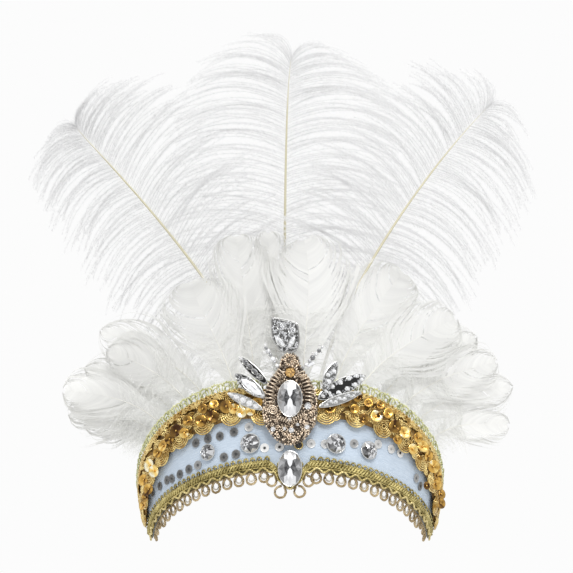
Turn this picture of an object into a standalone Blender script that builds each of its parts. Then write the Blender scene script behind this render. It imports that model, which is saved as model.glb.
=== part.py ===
"""Feather headband for stage wear.

A stiff crescent band, covered in pale blue cloth, curves round the front of the head.
A scalloped sequin braid and a looped lace edging follow its upper edge, a gimp braid
and a fringe of cord loops follow its lower edge. A jewelled brooch sits at the front,
cut stones are sewn to the cloth, and goose feathers and three ostrich plumes fan out
from the inner face.

Frame: metres, +Z up, -Y is the front. The origin is the centre of the head opening,
level with the band's two ends.
"""

import math

import bmesh
import bpy
from mathutils import Matrix, Vector

MM = 0.001
GAP = 0.35 * MM  # left between pieces that are sewn together

# Band: a wall on a cone whose axis leans back
TILT = math.radians(33.0)  # how far the head opening slopes down towards the back
FLARE = math.radians(18.0)  # how far the wall leans out from the opening's axis
HALF_WIDTH = 85.0 * MM  # outer face at the lower edge, side to side
HALF_DEPTH = 88.0 * MM  # the same, from the sides to the front
WALL = 2.0 * MM
BAND_HEIGHT = 50.0 * MM  # along the slanting wall, beside the brooch
BAND_DIP = 4.5 * MM  # how much lower the upper edge is behind the brooch
BAND_DIP_ANGLE = math.radians(20.0)
END_HEIGHT = 13.0 * MM
END_ANGLE = math.radians(88.0)
LEVEL_ANGLE = math.radians(25.0)  # up to here the upper edge keeps its height
END_ROUNDING = 1.4
DIP_DEPTH = 11.0 * MM  # the point in the middle of the lower edge
DIP_HALF = 14.0 * MM
BAND_STEPS = 34

# Lace edging, which stands above the upper edge
LACE_THICK = 0.8 * MM
LACE_FOOT = 5.0 * MM
LACE_RISE = 6.8 * MM
LACE_CELLS = 36
LACE_OUT = GAP

# Sequin braid, over the lace
BRAID_OUT = LACE_OUT + LACE_THICK + GAP
BRAID_WIDTH = 21.5 * MM
BRAID_EDGE = 1.2 * MM
BRAID_CREST = 2.6 * MM
SCALLOPS = 17
SCALLOP_DEPTH = 4.5 * MM
SCALLOP_STEPS = 4
BRAID_STOP = 8.2 * MM  # it stays this far above the lower edge

# Gimp braid, along the lower edge
GIMP_WIDTH = 7.6 * MM
GIMP_DROP = 0.8 * MM
GIMP_THICK = 1.3 * MM
GIMP_CREST = 2.3 * MM
GIMP_PICOTS = 36
PICOT = 0.7 * MM

# Loop fringe, hung from the band's lower edge
LOOPS = BAND_STEPS
LOOP_DROP = 0.6 * MM  # from the edge to the top of its heading
LOOP_LENGTH = 8.0 * MM
LOOP_CORD = 1.2 * MM
LOOP_WIDTH = 7.0 * MM
FRINGE_THICK = 1.1 * MM
FRINGE_OUT = -1.6 * MM

# Brooch, flat against the front of the sequin braid
BROOCH_HEIGHT = 40.3 * MM  # its centre, up the wall
BROOCH_OUT = BRAID_OUT + BRAID_CREST + GAP
PLATE_THICK = 2.4 * MM
COLLAR_WIRE = 2.3 * MM
COLLAR_TOP = 0.3  # the collar's wire is this share of its width above the stone
CENTRE_STONE = (7.0 * MM, 10.8 * MM, 5.2 * MM)  # half width, half height, thickness

# Feathers. Each lies on its own layer of one curved fan that leans back.
QUILL_INSIDE = 13.0 * MM  # how far a quill reaches down the inner face
GOOSE_QUILL = 0.8 * MM
PLUME_QUILL = 1.5 * MM
VANE_EDGE = 0.35 * MM
GOOSE_STEPS = 7
GOOSE_BARE = 0.24  # share of a quill that has no vane
GOOSE_RISE = 32.0 * MM  # how far a short quill heads up the wall before it turns out
FAN_FRONT = -57.0 * MM
FAN_LEAN = 0.12
FAN_TURN = 76.0 * MM  # out to here the fan curves back round the head
FAN_SLOPE = 1.05
FAN_EASE = 90.0 * MM  # from here its slope eases off
FAN_EASED = 125.0 * MM
FAN_END_SLOPE = 0.2
LAYER = 3.1 * MM

# name, root angle round the band, tip x, tip z, width, bow to +x, layer from the front
GOOSE = [
    ("goose_feather_centre_left", -4.0, -13.0, 190.0, 20.0, -3.0, 3),
    ("goose_feather_centre_right", 4.0, 8.0, 186.0, 38.0, 8.0, 1),
    ("goose_feather_left_1", -12.0, -33.0, 188.0, 30.0, -2.0, 2),
    ("goose_feather_left_2", -19.0, -62.0, 160.0, 38.0, -6.0, 0),
    ("goose_feather_left_3", -30.0, -120.0, 130.0, 28.0, -12.0, 2),
    ("goose_feather_left_4", -37.0, -115.0, 118.0, 26.0, -8.0, 1),
    ("goose_feather_left_5", -44.0, -130.0, 106.0, 24.0, -8.0, 3),
    ("goose_feather_left_6", -51.0, -143.0, 92.0, 24.0, -8.0, 0),
    ("goose_feather_left_7", -56.5, -140.0, 78.0, 22.0, -8.0, 2),
    ("goose_feather_left_8", -61.5, -130.0, 71.0, 18.0, -4.0, 3),
    ("goose_feather_right_1", 15.0, 70.0, 166.0, 34.0, 2.0, 2),
    ("goose_feather_right_2", 23.0, 104.0, 138.0, 36.0, 10.0, 0),
    ("goose_feather_right_3", 32.0, 118.0, 126.0, 28.0, 12.0, 3),
    ("goose_feather_right_4", 41.0, 131.0, 110.0, 28.0, 10.0, 2),
    ("goose_feather_right_5", 50.0, 141.0, 94.0, 26.0, 8.0, 3),
    ("goose_feather_right_6", 60.0, 138.0, 70.0, 18.0, 8.0, 1),
]

# name, root angle, middle x and z, tip x and z, then for the locks on the left and on
# the right: length at the middle of the quill and how far they lean to the tip; layer
PLUMES = [
    ("ostrich_plume_left", -9.0, -76.0, 191.0, -137.0, 260.0, 50.0, 0.75, 66.0, 0.3, 7.0),
    ("ostrich_plume_centre", -1.8, -3.0, 205.0, 1.0, 300.0, 78.0, 0.5, 76.0, 0.5, 10.5),
    ("ostrich_plume_right", 9.5, 62.0, 191.0, 129.0, 275.0, 64.0, 0.3, 62.0, 0.75, 7.0),
]
PLUME_LOCKS = 8
PLUME_TURN = 0.8  # the plumes curve round the head by this share of the fan
QUILL_STEPS = 10
PLUME_BARE = 0.16
LOCK_WIDTH = 27.0 * MM
LOCK_THICK = 1.1 * MM
LOCK_STAGGER = 1.9 * MM  # every other lock lies in front of its neighbours
LOCK_SHARES = (0.0, 0.14, 0.4, 0.72, 1.0)
LOCK_WIDTHS = (0.2, 0.5, 1.0, 0.85, 0.12)
LOCK_THICKS = (0.5, 1.0, 0.85, 0.65, 0.4)
LOCK_ROOT = 0.3 * MM  # its root starts this far off the quill's middle

# Brooch leaves. x, y: the inner end, from the brooch's centre. aim: degrees from up,
# clockwise as seen from the front.
LEAVES = [
    # name, x, y, aim, length, width, lift
    ("leaf_left_upper", -12.3, 9.5, -40.6, 25.9, 5.6, 0.2),
    ("leaf_left_middle", -13.1, 0.9, -46.0, 24.8, 8.0, 2.8),
    ("leaf_left_lower", -14.5, -5.8, -57.6, 25.3, 5.6, 0.2),
    ("leaf_right_upper", 18.5, 6.0, 21.0, 20.7, 7.0, 1.9),
    ("leaf_right_middle", 14.4, 0.5, 55.9, 35.7, 10.0, 0.2),
    ("leaf_right_lower", 14.5, -4.6, 62.5, 30.0, 5.6, 1.8),
]

# The top leaf's outline from the brooch's centre, and the stones set on it
TOP_LEAF = [(-11.7, 51.7), (5.1, 47.8), (6.3, 35.1), (3.6, 29.2), (-5.4, 29.0), (-11.3, 38.2)]
TOP_STONES = [
    # name, x, y, aim, length, width
    ("top_stone_round_left", -5.3, 44.8, 0.0, 4.4, 4.4),
    ("top_stone_round_right", 1.3, 42.6, 0.0, 4.4, 4.4),
    ("top_stone_long_left", -6.0, 35.6, -40.0, 10.4, 3.4),
    ("top_stone_long_right", 1.0, 35.2, 26.0, 9.0, 3.2),
]

# Sprigs: x, y of the root and the tip, from the brooch's centre
SPRIGS = [
    ("sprig_left", -6.9, 19.5, -14.8, 32.4),
    ("sprig_right", 7.1, 18.6, 20.0, 33.0),
]

# Round stones on the cloth. angle: round the band. height: up the wall.
ROUND_STONES = [
    # name, angle, height, diameter
    ("round_crystal_left_outer", -32.5, 17.0, 10.0),
    ("round_crystal_left_inner", -15.0, 16.4, 12.0),
    ("round_crystal_right_inner", 17.4, 16.8, 12.0),
    ("round_crystal_right_outer", 31.0, 17.5, 11.0),
]

COLOURS = {
    # name: colour, roughness, metallic
    "blue_cloth": ((0.52, 0.62, 0.74, 1), 0.75, 0.0),
    "gold_sequin": ((0.80, 0.52, 0.13, 1), 0.22, 0.9),
    "pale_gold_lace": ((0.66, 0.64, 0.40, 1), 0.5, 0.3),
    "olive_gold_gimp": ((0.60, 0.50, 0.20, 1), 0.45, 0.5),
    "gold_cord": ((0.62, 0.48, 0.24, 1), 0.5, 0.3),
    "bronze_beadwork": ((0.46, 0.34, 0.20, 1), 0.35, 0.8),
    "crystal": ((0.90, 0.92, 0.94, 1), 0.05, 0.0),
    "amber": ((0.72, 0.42, 0.08, 1), 0.1, 0.0),
    "goose": ((0.90, 0.90, 0.88, 1), 0.8, 0.0),
    "ostrich": ((0.93, 0.92, 0.90, 1), 0.85, 0.0),
}


def clear_scene():
    for obj in list(bpy.data.objects):
        bpy.data.objects.remove(obj, do_unlink=True)


def make_materials():
    made = {}
    for name, (colour, roughness, metallic) in COLOURS.items():
        material = bpy.data.materials.new(name)
        material.use_nodes = True
        shader = material.node_tree.nodes["Principled BSDF"]
        shader.inputs["Base Color"].default_value = colour
        shader.inputs["Roughness"].default_value = roughness
        shader.inputs["Metallic"].default_value = metallic
        made[name] = material
    return made


def add_object(name, mesh, material, collection):
    obj = bpy.data.objects.new(name, mesh)
    mesh.materials.append(material)
    collection.objects.link(obj)
    return obj


def band_point(angle, height, out=0.0):
    """The point this far round the band, up its slanting wall and out from its outer face."""
    reach = height * math.sin(FLARE) + out * math.cos(FLARE)
    rise = height * math.cos(FLARE) - out * math.sin(FLARE)
    normal = Vector((HALF_DEPTH * math.sin(angle), HALF_WIDTH * math.cos(angle))).normalized()
    side = HALF_WIDTH * math.sin(angle) + normal.x * reach
    front = HALF_DEPTH * math.cos(angle) + normal.y * reach
    return Vector(
        (
            side,
            rise * math.sin(TILT) - front * math.cos(TILT),
            rise * math.cos(TILT) + front * math.sin(TILT),
        )
    )


def band_axes(angle):
    """Unit vectors at this angle: along the band, up the wall, and out of it."""
    step = math.radians(0.1)
    up = (band_point(angle, MM) - band_point(angle, 0.0)).normalized()
    along = (band_point(angle + step, 0.0) - band_point(angle - step, 0.0)).normalized()
    return along, up, along.cross(up).normalized()


def upper_edge(angle):
    """The wall's height: a shallow dip behind the brooch, and rounded off to blunt ends."""
    past = max(0.0, abs(angle) - LEVEL_ANGLE) / (END_ANGLE - LEVEL_ANGLE)
    fall = math.sqrt(max(0.0, 1.0 - min(1.0, past) ** END_ROUNDING))
    near = max(0.0, 1.0 - abs(angle) / BAND_DIP_ANGLE)
    dip = BAND_DIP * math.sin(math.pi / 2 * near) ** 2
    return END_HEIGHT + (BAND_HEIGHT - END_HEIGHT) * fall - dip


def lower_edge(angle):
    """Zero, apart from the point that dips in the middle."""
    across = abs(HALF_WIDTH * math.sin(angle))
    if across > DIP_HALF or abs(angle) > math.pi / 2:
        return 0.0
    return -DIP_DEPTH * math.cos(math.pi / 2 * across / DIP_HALF) ** 2


def spread(count, edge, samples=600):
    """count + 1 angles, from end to end, at equal distances along an edge of the band."""
    angles = [END_ANGLE * (2.0 * i / samples - 1.0) for i in range(samples + 1)]
    points = [band_point(a, edge(a)) for a in angles]
    run = [0.0]
    for near, far in zip(points, points[1:]):
        run.append(run[-1] + (far - near).length)
    found = []
    index = 0
    for k in range(count + 1):
        target = run[-1] * k / count
        while index < samples - 1 and run[index + 1] < target:
            index += 1
        share = (target - run[index]) / (run[index + 1] - run[index])
        found.append(angles[index] + (angles[index + 1] - angles[index]) * share)
    return found


def loft(name, rings, material, collection):
    """A closed solid through rings of equally many points, with both ends capped."""
    mesh = bpy.data.meshes.new(name)
    bm = bmesh.new()
    rows = [[bm.verts.new(p) for p in ring] for ring in rings]
    size = len(rows[0])
    for near, far in zip(rows, rows[1:]):
        for k in range(size):
            nxt = (k + 1) % size
            bm.faces.new((near[k], near[nxt], far[nxt], far[k]))
    bm.faces.new(rows[0])
    bm.faces.new(rows[-1])
    bmesh.ops.triangulate(bm, faces=bm.faces)
    bmesh.ops.recalc_face_normals(bm, faces=bm.faces)
    bm.to_mesh(mesh)
    bm.free()
    return add_object(name, mesh, material, collection)


def strip(name, angles, profile, material, collection):
    """A trim along the band: profile(angle, index) gives its section as (height, out) pairs."""
    rings = [
        [band_point(angle, height, out) for height, out in profile(angle, i)]
        for i, angle in enumerate(angles)
    ]
    return loft(name, rings, material, collection)


def build_band(materials, parts):
    def profile(angle, _):
        low, high = lower_edge(angle), upper_edge(angle)
        return [(low, 0.0), (high, 0.0), (high, -WALL), (low, -WALL)]

    angles = spread(BAND_STEPS, lower_edge)
    strip("band", angles, profile, materials["blue_cloth"], parts)


def build_sequin_braid(materials, parts):
    """Its lower edge hangs in scallops, and each scallop swells in the middle."""

    def profile(angle, i):
        phase = (i % SCALLOP_STEPS) / SCALLOP_STEPS
        swell = math.sin(math.pi * phase)
        top = upper_edge(angle)
        low = top - BRAID_WIDTH + SCALLOP_DEPTH * (1.0 - swell)
        low = max(low, lower_edge(angle) + BRAID_STOP)
        middle = (top + low) / 2
        crest = BRAID_EDGE + (BRAID_CREST - BRAID_EDGE) * (0.35 + 0.65 * swell)
        return [
            (low, BRAID_OUT),
            (low, BRAID_OUT + BRAID_EDGE),
            (middle, BRAID_OUT + crest),
            (top, BRAID_OUT + BRAID_EDGE),
            (top, BRAID_OUT),
        ]

    angles = spread(SCALLOPS * SCALLOP_STEPS, upper_edge)
    strip("sequin_braid", angles, profile, materials["gold_sequin"], parts)


def build_gimp_braid(materials, parts):
    """A ridge with picots on its upper side and a zigzag on its lower side."""

    def profile(angle, i):
        sway = PICOT if i % 2 else -PICOT
        low = lower_edge(angle) - GIMP_DROP - sway
        high = low + GIMP_WIDTH + 2.0 * sway
        return [
            (low, GAP),
            (low, GAP + GIMP_THICK),
            ((low + high) / 2, GAP + GIMP_CREST),
            (high, GAP + GIMP_THICK),
            (high, GAP),
        ]

    angles = spread(2 * GIMP_PICOTS, lower_edge)
    strip("gimp_braid", angles, profile, materials["olive_gold_gimp"], parts)


def pierced_strip(name, cells, edge, outline, hole, out, thick, material, parts):
    """A row of holed cells. outline: (share, rise) from a cell's left foot over its free
    edge; its right foot and joint are the next cell's. hole: (share, rise), starting
    nearest the foot and running round by the left. share is across the cell and rise is
    from the given edge."""
    angles = spread(cells, edge)
    mesh = bpy.data.meshes.new(name)
    bm = bmesh.new()

    def vertex(near, far, share, rise, lift):
        angle = near + (far - near) * share
        return bm.verts.new(band_point(angle, edge(angle) + rise, out + lift))

    sheets = []
    for lift in (0.0, thick):
        joints = []
        for angle in angles:
            joints.append([vertex(angle, angle, 0.0, rise, lift) for _, rise in outline[:2]])
        cells_made = []
        for k, (near, far) in enumerate(zip(angles, angles[1:])):
            free = [vertex(near, far, share, rise, lift) for share, rise in outline[2:]]
            ring = [vertex(near, far, share, rise, lift) for share, rise in hole]
            (left_foot, left_joint), (right_foot, right_joint) = joints[k], joints[k + 1]
            border = [left_foot, left_joint] + free + [right_joint, right_foot]
            cells_made.append((border, ring))
        sheets.append(cells_made)
    last = len(angles) - 2
    for k, ((back, back_ring), (front, front_ring)) in enumerate(zip(*sheets)):
        for border, ring in ((back, back_ring), (front, front_ring)):
            for face in between(border, ring):
                bm.faces.new(face)
        size = len(front)
        for i in range(size):
            j = (i + 1) % size
            at_left, at_right = i == 0, i == size - 2
            if (at_left and k > 0) or (at_right and k < last):
                continue  # the next cell carries on from here
            bm.faces.new((front[i], front[j], back[j], back[i]))
        for i in range(len(hole)):
            j = (i + 1) % len(hole)
            bm.faces.new((front_ring[i], front_ring[j], back_ring[j], back_ring[i]))
    bmesh.ops.triangulate(bm, faces=bm.faces)
    bmesh.ops.recalc_face_normals(bm, faces=bm.faces)
    bm.to_mesh(mesh)
    bm.free()
    return add_object(name, mesh, material, parts)


def between(border, ring):
    """Triangles that fill the space between two closed rows of vertices, both of which
    start at the same side and run the same way round."""
    faces = []
    i = j = 0
    outer, inner = len(border), len(ring)
    while i < outer or j < inner:
        a, b = border[i % outer], ring[j % inner]
        if i < outer and (j >= inner or (i + 1) * inner <= (j + 1) * outer):
            faces.append((a, border[(i + 1) % outer], b))
            i += 1
        else:
            faces.append((a, ring[(j + 1) % inner], b))
            j += 1
    return faces


def build_lace(materials, parts):
    """One open loop in each cell, with a rounded peak above it."""
    outline = [(0.0, -LACE_FOOT), (0.0, 0.6 * LACE_RISE), (0.3, LACE_RISE), (0.7, LACE_RISE)]
    hole = [(0.5, 0.12 * LACE_RISE), (0.18, 0.46 * LACE_RISE)]
    hole += [(0.5, 0.8 * LACE_RISE), (0.82, 0.46 * LACE_RISE)]
    pierced_strip(
        "lace_edging", LACE_CELLS, upper_edge, outline, hole, LACE_OUT, LACE_THICK,
        materials["pale_gold_lace"], parts,
    )


def build_loop_fringe(materials, parts):
    """Round cord loops, side by side on a heading that hangs under the band's edge."""
    top = -LOOP_DROP
    cord = LOOP_CORD / LOOP_WIDTH
    end = top - LOOP_LENGTH
    middle = top - 4.8 * MM
    outline = [(0.0, top), (0.0, top - 2.2 * MM), (0.05, middle - 0.6 * MM)]
    outline += [(0.3, end + 0.5 * MM), (0.7, end + 0.5 * MM), (0.95, middle - 0.6 * MM)]
    hole = [(0.5, top - 1.6 * MM), (cord, middle + 0.8 * MM), (0.32, end + LOOP_CORD)]
    hole += [(0.68, end + LOOP_CORD), (1.0 - cord, middle + 0.8 * MM)]
    pierced_strip(
        "loop_fringe", LOOPS, lower_edge, outline, hole, FRINGE_OUT, FRINGE_THICK,
        materials["gold_cord"], parts,
    )


def oval(half_width, half_height, count, turn=0.0, point=0.0):
    """Points round an oval. point narrows its top and bottom towards a marquise's tips."""
    found = []
    for k in range(count):
        t = 2.0 * math.pi * (k + turn) / count
        narrow = abs(math.sin(t)) ** point if point else 1.0
        found.append((half_width * math.sin(t) * narrow, half_height * math.cos(t)))
    return found


def cut_stone(name, half_width, half_height, thick, sides, point, place, material, parts):
    """A flat-backed stone: a girdle, two rows of crown facets and a table on top."""
    rows = [  # share of the outline, share of the thickness, turn in steps
        (0.86, 0.0, 0.0),
        (1.0, 0.3, 0.0),
        (0.8, 0.72, 0.0 if point else 0.5),
        (0.52, 1.0, 0.0),
    ]
    rings = [
        [
            place @ Vector((x, y, rise * thick))
            for x, y in oval(share * half_width, share * half_height, sides, turn, point)
        ]
        for share, rise, turn in rows
    ]
    return loft(name, rings, material, parts)


def brooch_place():
    """The brooch's own frame: X across, Y up the wall, Z out towards the viewer."""
    along, up, out = band_axes(0.0)
    origin = band_point(0.0, BROOCH_HEIGHT, BROOCH_OUT)
    place = Matrix((along, up, out)).transposed().to_4x4()
    place.translation = origin
    return place


def fuse(base, others, cutters):
    """Joins the other objects to the base with one Boolean union."""
    group = bpy.data.collections.new(base.name + "_joined")
    cutters.children.link(group)
    for other in others:
        for collection in list(other.users_collection):
            collection.objects.unlink(other)
        group.objects.link(other)
        other.hide_render = True
        other.display_type = "WIRE"
    union = base.modifiers.new("join", "BOOLEAN")
    union.operation = "UNION"
    union.operand_type = "COLLECTION"
    union.collection = group


def setting_outline():
    """A pear shape: the wide beaded oval with a neck above it."""
    half_widths = [  # y up from the brooch's centre, half width, in millimetres
        (-27.1, 2.6), (-25.0, 7.0), (-21.5, 10.5), (-14.6, 14.8), (-7.0, 16.0), (2.8, 15.4),
        (7.0, 14.2), (12.7, 11.2), (18.9, 6.4), (26.0, 4.6), (28.2, 2.0),
    ]
    right = [(width * MM, y * MM) for y, width in half_widths]
    left = [(-x, y) for x, y in reversed(right)]
    return right + left


def collar_rings(place):
    """Rings of the collar's wire, which thins above the stone."""
    half_width, half_height, _ = CENTRE_STONE
    rings = []
    for k in range(18):
        t = 2.0 * math.pi * (k + 0.5) / 18
        wire = COLLAR_WIRE * (COLLAR_TOP + (1.0 - COLLAR_TOP) * math.sin(t / 2) ** 0.6)
        across = Vector((math.sin(t), math.cos(t), 0.0))
        reach = wire + GAP
        middle = Vector(((half_width + reach) * across.x, (half_height + reach) * across.y, 0.0))
        middle.z = PLATE_THICK + 0.27 * wire
        turns = [2.0 * math.pi * j / 6 for j in range(6)]
        rings.append(
            [
                place @ (middle + (across * math.cos(s) + Vector((0.0, 0.0, math.sin(s)))) * wire)
                for s in turns
            ]
        )
    return rings


def flat_plate(name, outline, low, thick, place, material, parts):
    """A plate with a bevelled front edge. outline: (x, y) in millimetres."""
    middle = sum((Vector(p) for p in outline), Vector((0.0, 0.0))) / len(outline)
    rings = []
    for share, rise in ((0.97, 0.0), (1.0, 0.3), (1.0, 0.7), (0.9, 1.0)):
        ring = []
        for p in outline:
            at = (middle + (Vector(p) - middle) * share) * MM
            ring.append(place @ Vector((at.x, at.y, low + rise * thick)))
        rings.append(ring)
    return loft(name, rings, material, parts)


def sprig(name, start, end, place, material, parts):
    """A stem that carries a row of beads, each one smaller than the last."""
    profile = [
        (0.0, 0.5), (0.08, 0.6), (0.16, 1.6), (0.26, 1.6), (0.34, 0.6), (0.42, 1.5),
        (0.52, 1.5), (0.6, 0.5), (0.68, 1.3), (0.78, 1.3), (0.86, 0.5), (0.93, 1.0), (1.0, 0.4),
    ]
    start = Vector((start[0] * MM, start[1] * MM, 1.9 * MM))
    end = Vector((end[0] * MM, end[1] * MM, 1.9 * MM))
    ahead = (end - start).normalized()
    across = ahead.cross(Vector((0.0, 0.0, 1.0)))
    rings = []
    for share, radius in profile:
        centre = start.lerp(end, share)
        ring = []
        for k in range(6):
            t = 2.0 * math.pi * k / 6
            ring.append(
                place @ (centre + (across * math.cos(t) + Vector((0.0, 0.0, math.sin(t)))) * radius * MM)
            )
        rings.append(ring)
    return loft(name, rings, material, parts)


def build_brooch(materials, parts, cutters):
    place = brooch_place()
    bronze = materials["bronze_beadwork"]
    outline = setting_outline()
    rows = [(0.94, 0.0), (1.0, 0.35), (1.0, 0.7), (0.9, 1.0)]
    rings = [
        [place @ Vector((x * share, y * share, rise * PLATE_THICK)) for x, y in outline]
        for share, rise in rows
    ]
    plate = loft("brooch_setting", rings, bronze, parts)
    collar = closed_loft("brooch_collar", collar_rings(place), bronze, parts)
    fuse(plate, [collar], cutters)

    front = PLATE_THICK + GAP
    half_width, half_height, thick = CENTRE_STONE
    cut_stone(
        "brooch_crystal", half_width, half_height, thick, 12, 0.0,
        place @ Matrix.Translation((0.0, 0.0, front)), materials["crystal"], parts,
    )
    cut_stone(
        "amber_crystal", 2.9 * MM, 2.9 * MM, 3.0 * MM, 8, 0.0,
        place @ Matrix.Translation((0.0, 16.2 * MM, front)), materials["amber"], parts,
    )
    rosette_place = place @ Matrix.Translation((0.0, 23.6 * MM, front))
    profile = [(3.6, 0.0), (3.8, 1.1), (3.0, 2.3), (2.0, 2.0), (1.6, 1.0), (0.8, 1.5)]
    rings = [
        [
            rosette_place @ Vector((r * MM * math.sin(t), r * MM * math.cos(t), z * MM))
            for t in (2.0 * math.pi * k / 10 for k in range(10))
        ]
        for r, z in profile
    ]
    loft("brooch_rosette", rings, bronze, parts)
    build_leaves(materials, parts, place)


def build_leaves(materials, parts, place):
    """The leaves follow the band's curve; the top leaf and the sprigs stand above it."""
    for name, x, y, aim, length, width, lift in LEAVES:
        tilt = math.radians(aim)
        middle_x = x + length / 2 * math.sin(tilt)
        middle_y = y + length / 2 * math.cos(tilt)
        height = BROOCH_HEIGHT + middle_y * MM
        angle = math.asin(middle_x * MM / (HALF_WIDTH + height * math.sin(FLARE)))
        leaf_place = stone_place(angle, height, BROOCH_OUT + lift * MM)
        leaf_place = leaf_place @ Matrix.Rotation(-tilt, 4, "Z")
        cut_stone(
            name, width / 2 * MM, length / 2 * MM, 2.2 * MM, 8, 0.5, leaf_place,
            materials["crystal"], parts,
        )
    flat_plate("leaf_top", TOP_LEAF, 0.2 * MM, 1.6 * MM, place, materials["crystal"], parts)
    for name, x, y, aim, length, width in TOP_STONES:
        stone = place @ Matrix.Translation((x * MM, y * MM, 1.8 * MM + GAP))
        stone = stone @ Matrix.Rotation(math.radians(-aim), 4, "Z")
        point = 0.0 if length == width else 0.5
        cut_stone(
            name, width / 2 * MM, length / 2 * MM, 2.0 * MM, 8, point, stone,
            materials["crystal"], parts,
        )
    for name, x, y, end_x, end_y in SPRIGS:
        sprig(name, (x, y), (end_x, end_y), place, materials["bronze_beadwork"], parts)


def closed_loft(name, rings, material, collection):
    """A ring-shaped solid: the last ring joins the first."""
    mesh = bpy.data.meshes.new(name)
    bm = bmesh.new()
    rows = [[bm.verts.new(p) for p in ring] for ring in rings]
    size = len(rows[0])
    for near, far in zip(rows, rows[1:] + rows[:1]):
        for k in range(size):
            nxt = (k + 1) % size
            bm.faces.new((near[k], near[nxt], far[nxt], far[k]))
    bmesh.ops.recalc_face_normals(bm, faces=bm.faces)
    bm.to_mesh(mesh)
    bm.free()
    return add_object(name, mesh, material, collection)


def stone_place(angle, height, out):
    along, up, normal = band_axes(angle)
    place = Matrix((along, up, normal)).transposed().to_4x4()
    place.translation = band_point(angle, height, out)
    return place


def build_stones(materials, parts):
    crystal = materials["crystal"]
    for name, angle, height, diameter in ROUND_STONES:
        radius = diameter / 2 * MM
        lift = GAP + 0.3 * MM  # the back is flat and the cloth is curved
        place = stone_place(math.radians(angle), height * MM, lift)
        cut_stone(name, radius, radius, 4.2 * MM, 10, 0.0, place, crystal, parts)
    place = stone_place(0.0, -1.2 * MM, GAP + GIMP_CREST + GAP)
    cut_stone("drop_crystal", 7.4 * MM, 10.8 * MM, 5.4 * MM, 12, 0.0, place, crystal, parts)


def bezier(p0, p1, p2, p3, t):
    s = 1.0 - t
    return p0 * s**3 + p1 * 3 * s * s * t + p2 * 3 * s * t * t + p3 * t**3


def fan_depth(x, z, layer, share=1.0):
    """The depth of one layer of the fan behind the point x, z of the front view. share
    is how much of the curve round the head it keeps."""
    reach = abs(x)
    turned = min(reach, FAN_TURN)
    depth = FAN_SLOPE * turned * turned / (2.0 * FAN_TURN)
    depth += FAN_SLOPE * max(0.0, min(reach, FAN_EASE) - FAN_TURN)
    eased = max(0.0, min(reach, FAN_EASED) - FAN_EASE)
    fall = (FAN_SLOPE - FAN_END_SLOPE) / (FAN_EASED - FAN_EASE)
    depth += FAN_SLOPE * eased - fall * eased * eased / 2.0
    depth += FAN_END_SLOPE * max(0.0, reach - FAN_EASED)
    lean = FAN_LEAN * (z - band_point(0.0, BAND_HEIGHT).z)
    return FAN_FRONT + share * depth + lean + layer * LAYER


def fan_normal(x, z, share=1.0):
    """Unit vector out of the fan's face, towards the viewer."""
    step = MM
    ahead, behind = fan_depth(x + step, z, 0, share), fan_depth(x - step, z, 0, share)
    return Vector(((ahead - behind) / (2.0 * step), -1.0, FAN_LEAN)).normalized()


def quill_foot(root_angle, radius):
    """Where a quill starts, against the band's inner face, and the way up that face."""
    angle = math.radians(root_angle)
    foot = band_point(angle, upper_edge(angle) - QUILL_INSIDE, -WALL - GAP - radius)
    return foot, band_axes(angle)[1]


def on_fan(flat, foot, t, layer, bare, share=1.0):
    """A point of the front view put at its depth, which eases off from the foot's."""
    eased = min(1.0, t / (0.85 * bare))
    eased = eased * eased * (3.0 - 2.0 * eased)
    depth = fan_depth(flat.x, flat.z, layer, share)
    return Vector((flat.x, foot.y + (depth - foot.y) * eased, flat.z))


def flat_frame(path, t):
    """The point at t in the front view, the way ahead and the way to the right of it."""
    centre = bezier(*path, t)
    ahead = bezier(*path, min(1.0, t + 0.02)) - bezier(*path, max(0.0, t - 0.02))
    ahead.y = 0.0
    ahead.normalize()
    return centre, ahead, Vector((ahead.z, 0.0, -ahead.x))


def goose_half_width(t):
    """Share of the full width at t along the quill: bare, then broad, then a round tip."""
    if t <= GOOSE_BARE:
        return 0.0
    u = (t - GOOSE_BARE) / (1.0 - GOOSE_BARE)
    return min(1.0, (u / 0.36) ** 0.7) * math.sqrt(1.0 - max(0.0, (u - 0.6) / 0.403) ** 2.2)


def build_goose_feathers(materials, parts):
    for name, root, tip_x, tip_z, width, bow, layer in GOOSE:
        foot, up = quill_foot(root, GOOSE_QUILL)
        tip = Vector((tip_x * MM, foot.y, tip_z * MM))
        length = (tip - foot).length
        p1 = foot + up * max(0.4 * length, GOOSE_RISE)
        p2 = foot.lerp(tip, 0.66) + Vector((bow * MM, 0.0, 0.13 * length))
        path = (foot, p1, p2, tip)
        rings = []
        shares = [0.0, 0.5 * GOOSE_BARE, GOOSE_BARE]
        for i in range(1, GOOSE_STEPS + 1):
            shares.append(GOOSE_BARE + (1.0 - GOOSE_BARE) * (i / GOOSE_STEPS) ** 0.8)
        for t in shares:
            centre, _, side = flat_frame(path, t)
            half = max(goose_half_width(t) * width / 2 * MM, GOOSE_QUILL)
            normal = fan_normal(centre.x, centre.z)
            thick = GOOSE_QUILL * (1.0 - 0.5 * t)
            ridge = on_fan(centre, foot, t, layer, GOOSE_BARE)
            left = on_fan(centre - side * half, foot, t, layer, GOOSE_BARE)
            right = on_fan(centre + side * half, foot, t, layer, GOOSE_BARE)
            edge = normal * min(VANE_EDGE, thick / 2)
            rings.append(
                [
                    left + edge, ridge + normal * thick, right + edge,
                    right - edge, ridge - normal * thick, left - edge,
                ]
            )
        loft(name, rings, materials["goose"], parts)


def plume_reach(t):
    """Share of the full lock length at t along the quill."""
    u = (t - PLUME_BARE) / (1.0 - PLUME_BARE)
    return min(1.0, 0.5 + u / 0.5) * (1.0 - 0.7 * max(0.0, (u - 0.6) / 0.4) ** 2.2)


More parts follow.
